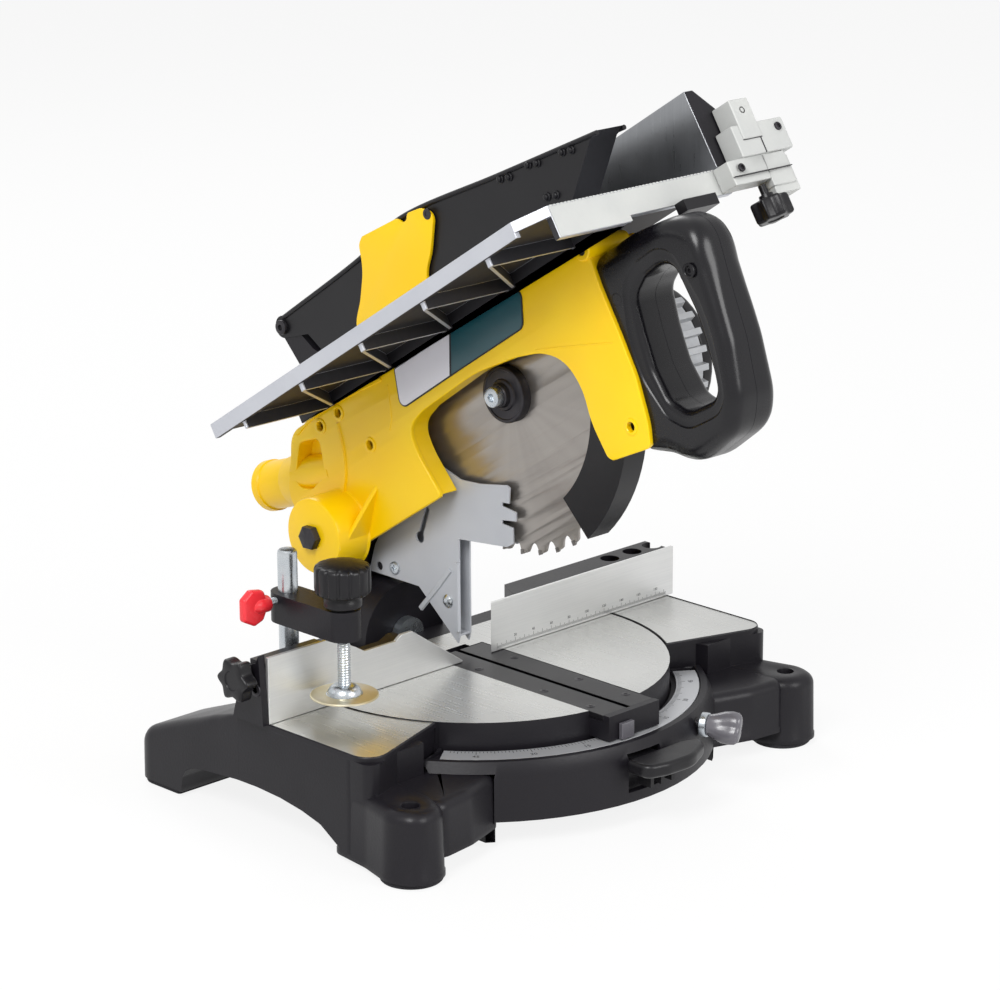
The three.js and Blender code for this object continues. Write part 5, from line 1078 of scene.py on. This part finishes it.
def lobedKnob(radius, low, high, lobes, depth, edge=2.4):
    # a drum whose radius waves round the axis, its ends drawn in along a quarter circle
    quarter = list(zip(*quarterTurn(5)))
    rows = [(0, low)] + [(radius - edge * draw, low + edge * lift) for draw, lift in quarter]
    rows += [(radius - edge * draw, high - edge * lift) for draw, lift in quarter[::-1]]
    rows += [(radius * 0.45, high), (radius * 0.42, high - 0.8), (0, high - 0.8)]

    def waved(angle, profile):
        far = np.clip((profile[:, :1] / radius - 0.5) / 0.4, 0, 1)
        return 1 - depth * far * (0.5 - 0.5 * np.cos(lobes * angle)) ** 0.7
    return turned(rows, lobes * 20, waved)


knobs = {
    "end": {"radius": 17, "deep": 12, "lobes": 6, "wave": 0.24, "seat": -226, "at": (0, 15, 121.3)},
    "rip": {"radius": 15, "deep": 16, "lobes": 7, "wave": 0.2, "seat": 71, "at": (94, -436.6, 0)},
    "lock": {"height": 56, "turn": 22},
}


def handKnob(word, stem):
    # a lobed drum that hangs below its seat, on a turned stem
    k = knobs[word]
    drum = lobedKnob(k["radius"], 0, k["deep"], k["lobes"],
                     k["wave"]).flipped(2).moved((0, 0, k["seat"]))
    return drum + turned(stem, 24)


endKnob = handKnob("end", [(0, -226.5), (6.5, -226.5), (6.5, -222), (3, -221.5), (3, -213),
                           (0, -213)])
makePiece("end_knob_head", endKnob.along("x").moved(knobs["end"]["at"]), sawFrame, "plastic",
          "fence_end_knob", True, angle=40)
ripKnob = handKnob("rip", [(0, 70.5), (6, 70.5), (5.4, 74.6), (3, 75), (3, 82),
                           (0, 82)]).moved(knobs["rip"]["at"])
makePiece("rip_knob_head", ripKnob, headFrame, "plastic", "rip_knob", True, angle=40)


def lockKnobForm():
    # the flattened smoky wing, which sits on the dark shank and bright collar made below
    def wing(angle, profile):
        far = np.clip((profile[:, 1:2] - 191) / 8, 0, 1)
        return 1 - 0.62 * far * np.abs(np.sin(angle - 0.5)) ** 1.2
    rows = [(0, 190), (7.5, 190), (8.6, 191.2), (10.2, 196), (12.4, 202), (12.9, 208),
            (12.4, 212.5), (10.5, 215), (8, 215.7), (0, 215.8)]
    return turned(rows, 64, wing)


def lockPlace(form):  # out of the rim, along the knob's own radius
    return form.flipped(2).along("y").moved((0, 0,
                                             knobs["lock"]["height"])).spun(knobs["lock"]["turn"])


makePiece("lock_wing", lockPlace(lockKnobForm()), sawFrame, "smoke", "mitre_lock_knob", True,
          angle=45)
makePiece("lock_collar", lockPlace(ringForm(9.4, 3, 184.3, 190.2, 0.8)), sawFrame, "zinc",
          ("mitre_lock", "zinc"))
makePiece("lock_stud", lockPlace(threadForm(166, 186, 4, 1.5, 0.35)), sawFrame, "darkSteel",
          ("mitre_lock", "dark_steel"))
print("knobs made")

# ---- blade plates: folded sheet with rivets, screws and a pressed rib

for node in ("blade_plate_left", "blade_plate_right"):
    refined(node, "silverPaint", 0.35)
folded = {"face": -6.4, "screwAt": (-6.4, 87, 139.5), "rivetAt": (-6.4, 27, 126),
          "crease": [(58, 113), (40, 133), (24, 152)],
          "fold": [(15.5, 160), (15.5, 132), (15.3, 104)]}
phillips = screwHead(5.2, 1.6, 3.0, 1.2, 4, 0.8)
rivet = turned([(0, 0), (5.4, 0), (5.4, 0.7), (4.4, 1.3), (3.2, 2.6), (1.6, 3.1), (0, 3.2)], 28)
makePiece("plate_fasteners", onLeft(phillips, folded["screwAt"]) + onLeft(rivet, folded["rivetAt"]),
          sawFrame, "zinc", "blade_plate_left")
ridge = strip(curveThrough(folded["crease"]), folded["face"], 5.0, 1.4) \
    + strip(curveThrough(folded["fold"], 12), folded["face"], 4.2, 2.2)
makePiece("plate_ridges", ridge, sawFrame, "silverPaint", "blade_plate_left")

# ---- hood: rolled lip, clips and bolt

hood = {"lip": [(-1.965, 1.492), (-1.44, 1.642), (-0.902, 1.797), (-0.59, 1.72), (-0.07, 1.684)],
        "clips": [(-305.2, 164.6), (-337.5, 161.3), (-374.4, 154.9), (-342.7, 133.3)], "half": 14.0}


def clipForm(y, z):
    # two low studs beside each other, each a dome on a round foot
    stud = turned([(0, 0), (3.4, 0), (3.4, 1.1), (2.6, 1.6), (2.2, 3.0), (1.2, 3.8), (0, 4.0)], 20)
    return onLeft(stud.moved((-4.6, -1.3, 0)) + stud.moved((4.6, 1.3, 0)),
                  (-hood["half"] + 0.3, y, z))


lipPath = curveThrough([(y * reach, z * rise) for y, z in hood["lip"]], 60)
lip = tubeAlong(np.column_stack([np.full(len(lipPath), 14.2), lipPath - [0, 1.6]]), 1.9, 10)
makePiece("hood_lip", bothSides(lip), headFrame, "plastic", "hood")
makePiece("hood_clips", together([clipForm(y, z) for y, z in hood["clips"]]), headFrame, "plastic",
          "hood")
hoodAt = (0, -0.0446 * reach, 1.609 * rise)
hoodHead = screwHead(6, 3, 2.7, 1.8, 6, 0.7).moved((0, 0, 14.4)).along("x")
makePiece("hood_screw", (rod(3, -14.6, 14.6, 24).along("x") + bothSides(hoodHead)).moved(hoodAt),
          headFrame, "darkSteel", "hood_bolt", True)

sidePlate = {
    "outline": [(-0.672, 1.827, 0.04), (-0.883, 1.788, 0.05), (-0.905, 1.731, 0.03),
                (-0.93, 1.735, 0.03), (-0.946, 1.775, 0.04), (-1.018, 1.75, 0.06),
                (-1.078, 1.663, 0.08), (-0.984, 1.433, 0.5), (-0.9, 1.294, 0.4),
                (-0.9, 1.003, 0.02), (-0.444, 1.003, 0.02), (-0.444, 1.283, 0.4),
                (-0.528, 1.423, 0.5), (-0.61, 1.615, 0.5), (-0.64, 1.79, 0.08)],
    "low": -18.0, "high": -15.0, "rimAt": (-17.9, -217.5, 174.8), "foot": (-27.0, 104.3, 106.8),
    "screwX": -22.0, "screwY": (-170, -112),
}
sideLoop = headLoop(sidePlate["outline"])
sideForm = slab(sideLoop, sidePlate["low"], sidePlate["high"], 0.5).along("x")
left, low, high = sidePlate["foot"]
foot = boxes([[left, -0.9 * reach, low]], [[sidePlate["high"], -0.444 * reach, high]])
makePiece("side_plate_sheet", sideForm + foot, headFrame, "yellow", "guard_side_plate", True)
sideRim = onLeft(screwHead(4.2, 0.7, 2.2, 0.5, 6, 0.3), sidePlate["rimAt"])
footScrews = together([screwHead(3.6, 1.4, 2.0, 0.9, 4, 0.6).moved((sidePlate["screwX"], y, high))
                       for y in sidePlate["screwY"]])
makePiece("side_plate_screws", sideRim + footScrews, headFrame, "darkSteel", "guard_side_plate")
print("plates and hood made")

# ---- the torsion spring that lifts the head: wire wound round the pivot

coil = {"from": 11.6, "to": 23.4, "radius": 13.0, "wire": 1.25, "turns": 4.0}


def coilForm():
    # a helix about the pivot's axis
    t = np.linspace(0, 1, 200)
    angle = 2 * math.pi * coil["turns"] * t
    path = np.column_stack([coil["from"] + (coil["to"] - coil["from"]) * t,
                            coil["radius"] * np.cos(angle), coil["radius"] * np.sin(angle)])
    return tubeAlong(path, coil["wire"], 10)


makePiece("spring_coil", coilForm(), headFrame, "zinc", "return_spring", True)

# ---- scales: fine ticks and figures on the mitre arc and on the right fence

ruler = {"start": 20.0, "end": 213.0, "low": 87.2, "tick": 0.28, "proud": 0.06, "figure": 3.2}


def fenceTicks():
    # one thin box for each millimetre, longer at every fifth and tenth
    place, half, low = np.arange(ruler["start"], ruler["end"], 1.0), ruler["tick"] / 2, ruler["low"]
    count, one = np.arange(len(place)), np.ones(len(place))
    tall = np.where(count % 10 == 0, 4.4, np.where(count % 5 == 0, 3.2, 2.0))
    return boxes(np.column_stack([place - half, -ruler["proud"] * one, low * one]),
                 np.column_stack([place + half, 0.2 * one, low + tall]))


def fenceFigures():
    forms = []
    for k in range(1, 10):
        figure = lettering(str(k * 20), ruler["figure"], 0.06)
        place = (ruler["start"] + k * 20, 0, ruler["low"] + 6.6)
        forms.append(figure.upright().flipped(1).moved(place))
    return together(forms)


makePiece("fence_ruler", fenceTicks() + fenceFigures(), sawFrame, "ink", "fence_right_face")
arc = {"inner": 153.0, "top": 64.7, "span": 52}


def arcMarks():
    # ticks laid along the radius, every degree, with figures inside them
    degree = np.arange(-arc["span"], arc["span"] + 1)
    long = np.where(degree % 15 == 0, 6.0, np.where(degree % 5 == 0, 4.6, 3.0))
    near, one = -arc["inner"] - 1.2, np.ones(len(degree))
    base = boxes(np.column_stack([-0.22 * one, near - long, (arc["top"] - 0.1) * one]),
                 np.column_stack([0.22 * one, near * one, (arc["top"] + 0.07) * one]))
    turn = np.repeat(np.radians(degree), 8)
    x, y = base.points[:, 0].copy(), base.points[:, 1].copy()
    base.points[:, 0] = x * np.cos(turn) - y * np.sin(turn)
    base.points[:, 1] = x * np.sin(turn) + y * np.cos(turn)
    forms = [base]
    for k in (-45, -30, -15, 0, 15, 30, 45):
        figure = lettering(str(abs(k)), 5.6, 0.07).moved((0, -arc["inner"] - 11.4, arc["top"]))
        forms.append(figure.spun(k))
    return together(forms)


makePiece("mitre_figures", arcMarks(), sawFrame, "ink", "mitre_scale")

# ---- small screws

screws = {"insertX": (-19, 19), "insertY": (-139, -90, -20), "insertZ": 83.9,
          "fenceEnd": (-220.9, 7.1, 112.3)}
small = screwHead(3.6, 1.2, 2.0, 0.9, 4, 0.5)
insertScrews = together([small.moved((x, y, screws["insertZ"])) for x in screws["insertX"]
                         for y in screws["insertY"]])
makePiece("insert_screws", insertScrews, sawFrame, "darkSteel", "kerf_insert_left")
endScrew = onLeft(screwHead(5.2, 1.2, 2.6, 1.1, 6, 0.9), screws["fenceEnd"])
makePiece("fence_end_screw", endScrew, sawFrame, "darkSteel", "fence_left")
print("scales and screws made")


# ---- base: side wings, rear legs and front feet round the well, whose middle comes from the solid

deck = {
    "half": 215.0, "inner": 149.5, "top": 85.0, "under": 81.0, "back": 36.0,
    "well": 149.3, "corner": 15.0, "start": -100.0,
    "tip": (124.5, -82.4),
    "ridge": [(36, 84.4), (50, 80.5), (70, 74), (90, 66.5), (110, 59.5), (130, 52), (148, 45),
              (158, 40)],
    "arch": [(-110, 4), (-85, 4), (-78, 8.5), (-70, 13.5), (-55, 22.5), (-35, 27.5), (-11, 31),
             (15, 32.5), (38, 32.3), (75, 29.5), (90, 27), (98, 23), (102, 17), (103.4, 10),
             (104, 4), (160, 4)],
    "end": 158.0, "endRound": 16.0, "draft": 0.012,
    "wall": [(125, -81, 0), (215, -112, 15), (215, -88, 0), (150, -75, 0)],
    "foot": [(213.5, -64, 12), (218.5, -106, 34), (227, -138, 26), (218, -161.5, 22),
             (187, -161.5, 24), (175, -138, 24), (172, -104, 20), (166, -64, 12)],
    "neck": [(199, -76, 0), (198, -112, 8), (191, -154, 14), (152, -149, 25), (112, -136, 10),
             (112, -70, 0)],
    "footTop": 57.2, "hole": (203.0, -138.0), "holeRadius": 6.5,
    "pad": (201.0, -136.5), "padRadius": 23.0, "padHole": 12.0, "padTop": 4.2, "padEdge": 0.8,
    "rearPad": (152.0, 109.0, 213.5, 156.5),
    "backing": (168, 170, -106, -74, 21, 43),
}


def legPart(y, radius, top, ease):
    # a box section with two round upper edges, carried from front to back over the underside's arch
    d = deck
    arch = np.array(d["arch"], float)
    under = np.interp(y, arch[:, 0], arch[:, 1])
    outer, inner = d["half"] - ease, d["inner"] + ease
    flare = (top - under) * d["draft"]
    quarter = list(zip(*quarterTurn(7)))
    columns = [(outer + flare, under), (outer + flare * 0.5, (top + under) / 2)]
    columns += [(outer - radius * lift, top - radius * draw) for draw, lift in quarter]
    columns += [(inner + radius * lift, top - radius * draw) for draw, lift in quarter[::-1]]
    columns += [(inner, under)]
    return gridForm(np.stack([np.column_stack([x, y, z]) for x, z in columns], axis=1))


def legForms():
    # under the wing the top is level and its front end sinks into the foot; behind, the ridge falls
    d = deck
    draw, lift = quarterTurn(8)
    wingY = np.linspace(d["start"], d["back"], 50)
    wing = legPart(wingY, 0.01, np.full(50, d["under"]), np.clip(-86 - wingY, 0, None) * 0.3)
    legY = np.concatenate([np.linspace(d["back"], 96, 26), np.linspace(97, 105, 24),
                           np.linspace(106, d["end"] - d["endRound"], 16)[:-1],
                           d["end"] - d["endRound"] * draw])
    ease = np.concatenate([np.zeros(len(legY) - len(lift)), d["endRound"] * lift])
    ridge = np.array(d["ridge"], float)
    top = np.interp(legY, ridge[:, 0], ridge[:, 1]) - ease * 0.35
    return wing + legPart(legY, np.interp(legY, [36, 60, 110], [1.2, 6, 10]), top, ease)


def mound(loop, low, high, edge, draft=1.2, hole=None):
    # the outline carried upwards with a little draft and a round top edge, and down again in a hole
    rows = [(0, low), (0, low + 3.5), (0.7, low + 4.6), (draft, high - edge)]
    rows += [(draft + edge * lift, high - edge * draw)
             for draw, lift in list(zip(*quarterTurn(9)))[1:]]
    rings = [np.column_stack([insetLoop(loop, d) if d else loop, np.full(len(loop), h)])
             for d, h in rows]
    if hole:
        centre, radius = np.array(hole[0]), hole[1]
        away = rings[-1][:, :2] - centre
        away = away / np.linalg.norm(away, axis=1)[:, None]
        for size, h in [(radius + 1.2, high), (radius + 0.3, high - 0.4), (radius, high - 1.2),
                        (radius, low + 4)]:
            rings.append(np.column_stack([centre + away * size, np.full(len(loop), h)]))
    return gridForm(np.stack(rings))


def wingForm():
    # the milled top: from the well's edge to the outer corner and back along the side
    d = deck
    first, last = (math.atan2(d["back"], math.sqrt(d["well"] ** 2 - d["back"] ** 2)),
                   math.atan2(d["tip"][1], d["tip"][0]))
    angle = np.linspace(first, last, 40)
    corner = softLoop([d["tip"], (215, -112, d["corner"]), (215, d["back"]), (145, d["back"])],
                      steps=8)[1:-1]
    loop = np.vstack([np.column_stack([np.cos(angle), np.sin(angle)]) * d["well"], corner])
    return mound(loop, d["under"], d["top"], 0.8, 0.0)


def sideForm():
    d = deck
    wall = slab(softLoop(d["wall"], steps=8), 45, d["under"])
    foot = mound(evenLoop(softLoop(d["foot"], steps=10), 120), 4, d["footTop"], 9, 1.5,
                 (d["hole"], d["holeRadius"]))
    neck = mound(evenLoop(softLoop(d["neck"], steps=10), 120), 15, d["footTop"] - 0.5, 8)
    return together([legForms(), wall, foot, neck])


core = {"side": 150.2, "away": 183.1, "wingLow": 66.0, "wingInner": 149.6, "wingBack": 34.5}


def insideWell(centre):
    # the part of the solid that the new sides, wings and feet don't cover
    x, y, z = [(centre[k] - float(start)) * 1000
               for k, start in enumerate((tableAxis[0], tableAxis[1], 0))]
    away = math.hypot(x, y)
    wing = z > core["wingLow"] and away > core["wingInner"] and y < core["wingBack"]
    return abs(x) < core["side"] and away < core["away"] and not wing


sideCuts = [((float(tableAxis[0]) + x * 0.001, 0, 0), (1, 0, 0))
            for x in (-core["side"], core["side"])]
refined("base_casting", "machined", 1.0, keep=insideWell, cuts=sideCuts)
for side, word in ((-1, "left"), (1, "right")):
    sides, wing = [form if side > 0 else form.flipped() for form in (sideForm(), wingForm())]
    makePiece(f"base_side_{word}", sides, sawFrame, "castBlack", "base_casting", angle=38)
    makePiece(f"base_wing_{word}", wing, sawFrame, "machined", "base_casting", angle=30)
    x, y = deck["pad"]
    padRing = ringForm(deck["padRadius"], deck["padHole"], 0, deck["padTop"], deck["padEdge"],
                       56).moved((side * x, y, 0))
    makePiece(f"front_pad_{word}", padRing, sawFrame, "rubber", f"foot_pad_front_{word}", True)
    x0, y0, x1, y1 = deck["rearPad"]
    padLoop = softLoop([(side * x0, y0, 3), (side * x1, y0, 3), (side * x1, y1, 14),
                        (side * x0, y1, 14)])
    makePiece(f"rear_pad_{word}", slab(padLoop, 0, deck["padTop"], deck["padEdge"]), sawFrame,
              "rubber", f"foot_pad_rear_{word}", True)
makePiece("lever_backing", ringSector(*deck["backing"]), sawFrame, "castBlack", "base_casting")

lever = {"pad": [(-30.1, -186.5, 3), (-30.1, -208, 9), (-12, -213.5, 22), (14, -214.6, 30),
                 (37, -203, 18), (45, -192, 5), (28, -186, 4)],
         "low": 47.0, "high": 57.9, "fins": (-18.0, -6.8, 4.5), "fin": 3.5,
         "barrel": (-168.0, 50.0)}


def leverForm():
    # a soft-edged thumb pad with three fins below it, on an arm that ends in the barrel
    v = lever
    pad = slab(softLoop(v["pad"], steps=8), v["low"], v["high"], 3.6, 5)
    arm = boxes([[-18, -190, 46]] + [[x, -200, 36] for x in v["fins"]],
                [[8, -168, 54]] + [[x + v["fin"], -187, 50] for x in v["fins"]])
    barrel = turned([(0, -21.7), (5.4, -21.7), (6, -21.1), (6, 11.1), (5.4, 11.7), (0, 11.7)], 36)
    return pad + arm + barrel.along("x").moved((0, *v["barrel"]))


makePiece("lever_pad", leverForm(), sawFrame, "plastic", "detent_lever", True, angle=40, bevel=0.6)
print("base made")

# ---- upper table's white apron, the rip fence's dark end and the stepped carriage

apron = {"front": -426.8, "back": -425.7, "left": -105.6, "step": -34.0, "right": 73.6, "low": 80.0,
         "lowRight": 84.4,
         "high": 103.9}
carriage = {"front": -446.4, "back": -427.1,
            "blocks": [(0, 86, 116, 106, 147), (1.5, 79, 103.4, 134, 128),
                       (3, 62, 84.2, 100, 103.2), (3, 100, 78, 124, 103.2),
                       (4.5, 101, 72, 127, 100)],
            "lines": [(86, 115.6, 106, 116.2), (62, 90, 124, 90.6), (104, 103.6, 104.6, 127.8)],
            "screws": [(96, 138), (126, 121), (72, 96)]}


def apronForm():
    # a thin facing, and along its upper edge a row of small teeth
    a = apron
    face = boxes([[a["left"], a["front"], a["low"]], [a["step"], a["front"], a["lowRight"]]],
                 [[a["step"], a["back"], a["high"] - 1.2],
                  [a["right"], a["back"], a["high"] - 1.2]])
    place = np.arange(a["left"] + 1, a["right"] - 2, 3.6)
    one = np.ones(len(place))
    return face + boxes(np.column_stack([place, a["front"] * one, (a["high"] - 1.4) * one]),
                        np.column_stack([place + 2.2, a["back"] * one, a["high"] * one]))


makePiece("table_apron", apronForm(), headFrame, "whiteCast", "upper_table")
front, back, blocks, grooves, places = carriage.values()
blockForm = boxes([[x0, front + step, z0] for step, x0, z0, x1, z1 in blocks],
                  [[x1, back, z1] for step, x0, z0, x1, z1 in blocks])
makePiece("carriage_blocks", blockForm, headFrame, "whiteCast", "rip_carriage", True, bevel=1.0)
lineForm = boxes([[x0, front + 0.9, z0] for x0, z0, x1, z1 in grooves],
                 [[x1, front + 3, z1] for x0, z0, x1, z1 in grooves])
setScrew = screwHead(3.2, 1.2, 1.8, 1.0, 6, 0.5).flipped(2).along("y")
setScrews = together([setScrew.moved((x, front + 1.2, z)) for x, z in places])
makePiece("carriage_screws", lineForm + setScrews, headFrame, "darkSteel", "rip_carriage")
ripFace = {"outline": [(69, 105), (68, 166), (77, 166), (94, 147), (93, 139), (82, 114), (82, 105)],
           "near": 426.32, "far": 426.55, "margin": 0.5}
endForm = slab(insetLoop(np.array(ripFace["outline"], float), ripFace["margin"]), ripFace["near"],
               ripFace["far"]).flipped(2)
makePiece("rip_end_face", endForm.upright(), headFrame, "castBlack", "rip_fence")
print("table front made")


# ---- camera, floor and light

view = {"place": (-1.8606, -1.9035, 1.0140), "azimuth": 44.49, "elevation": 16.61, "roll": -0.28,
        "lens": 131.4}
floor = {"half": 6.0, "under": 0.0003, "glow": 0.86}
studio = {"aim": (0, 0, 0.25), "mirrored": 0.35, "ambient": 0.5,
          "lamps": [("keyLamp", (-1.9, -0.9, 2.2), 1.3, 50),
                    ("frontLamp", (0.4, -2.4, 1.5), 1.4, 30),
                    ("backLamp", (0.9, 1.9, 2.0), 1.2, 20)]}


def makeCamera():
    az, el, roll = (math.radians(view[key]) for key in ("azimuth", "elevation", "roll"))
    ahead = Vector((math.cos(el) * math.sin(az), math.cos(el) * math.cos(az), -math.sin(el)))
    right = Vector((math.cos(az), -math.sin(az), 0))
    over = right.cross(ahead)
    sideways = right * math.cos(roll) + over * math.sin(roll)
    upwards = over * math.cos(roll) - right * math.sin(roll)
    data = bpy.data.cameras.new("photoCamera")
    data.lens, data.sensor_width, data.sensor_fit = view["lens"], 36, "HORIZONTAL"
    data.clip_start, data.clip_end = 0.05, 30
    camera = intoScene("photoCamera", data)
    turn = Matrix((sideways, upwards, -ahead)).transposed().to_4x4()
    camera.matrix_world = Matrix.Translation(view["place"]) @ turn
    bpy.context.scene.camera = camera


def makeFloor():
    # a wide flat sheet that shows white to the camera and keeps some of the saw's shadow
    sheet = Sheet(bpy.data.materials.new("paleFloor"))
    matt = sheet.node("ShaderNodeBsdfDiffuse", {},
                      {"Color": sheet.mixed(sheet.noise(3, 2) * 0.1, "#F4F4F4", "#ECECEC")})
    glow = sheet.node("ShaderNodeEmission", {}, {"Color": (1, 1, 1, 1), "Strength": 1.0})
    shown = sheet.greater(sheet.ray("Camera"), sheet.ray("Glossy")) * floor["glow"]
    both = sheet.node("ShaderNodeMixShader", {}, {0: shown, 1: matt, 2: glow})
    sheet.node("ShaderNodeOutputMaterial", {}, {"Surface": both})
    mesh = bpy.data.meshes.new("floor")
    corners = [(x * floor["half"], y * floor["half"], -floor["under"])
               for x, y in ((-1, -1), (1, -1), (1, 1), (-1, 1))]
    mesh.from_pydata(corners, [], [(0, 1, 2, 3)])
    mesh.materials.append(sheet.owner)
    intoScene("floor", mesh)


def makeWorld():
    # white where the camera sees it, also through the smoky plastic, and dimmer as light
    sheet = Sheet(bpy.data.worlds.new("studio"))
    seen = sheet.greater(sheet.ray("Camera"), sheet.ray("Transmission"))
    strength = sheet.greater(seen, sheet.ray("Glossy") * studio["mirrored"] + studio["ambient"])
    background = sheet.node("ShaderNodeBackground", {},
                            {"Color": (1, 1, 1, 1), "Strength": strength})
    sheet.node("ShaderNodeOutputWorld", {}, {"Surface": background})
    bpy.context.scene.world = sheet.owner


def makeLamp(name, place, size, power):
    data = bpy.data.lights.new(name, "AREA")
    data.shape, data.size, data.energy = "DISK", size, power
    lamp = intoScene(name, data)
    lamp.rotation_mode, lamp.location = "QUATERNION", place
    lamp.rotation_quaternion = (Vector(studio["aim"]) - Vector(place)).to_track_quat("-Z", "Y")


makeCamera()
makeFloor()
makeWorld()
for row in studio["lamps"]:
    makeLamp(*row)
bpy.context.scene.view_settings.view_transform = "Standard"

print("pieces done, finishing")
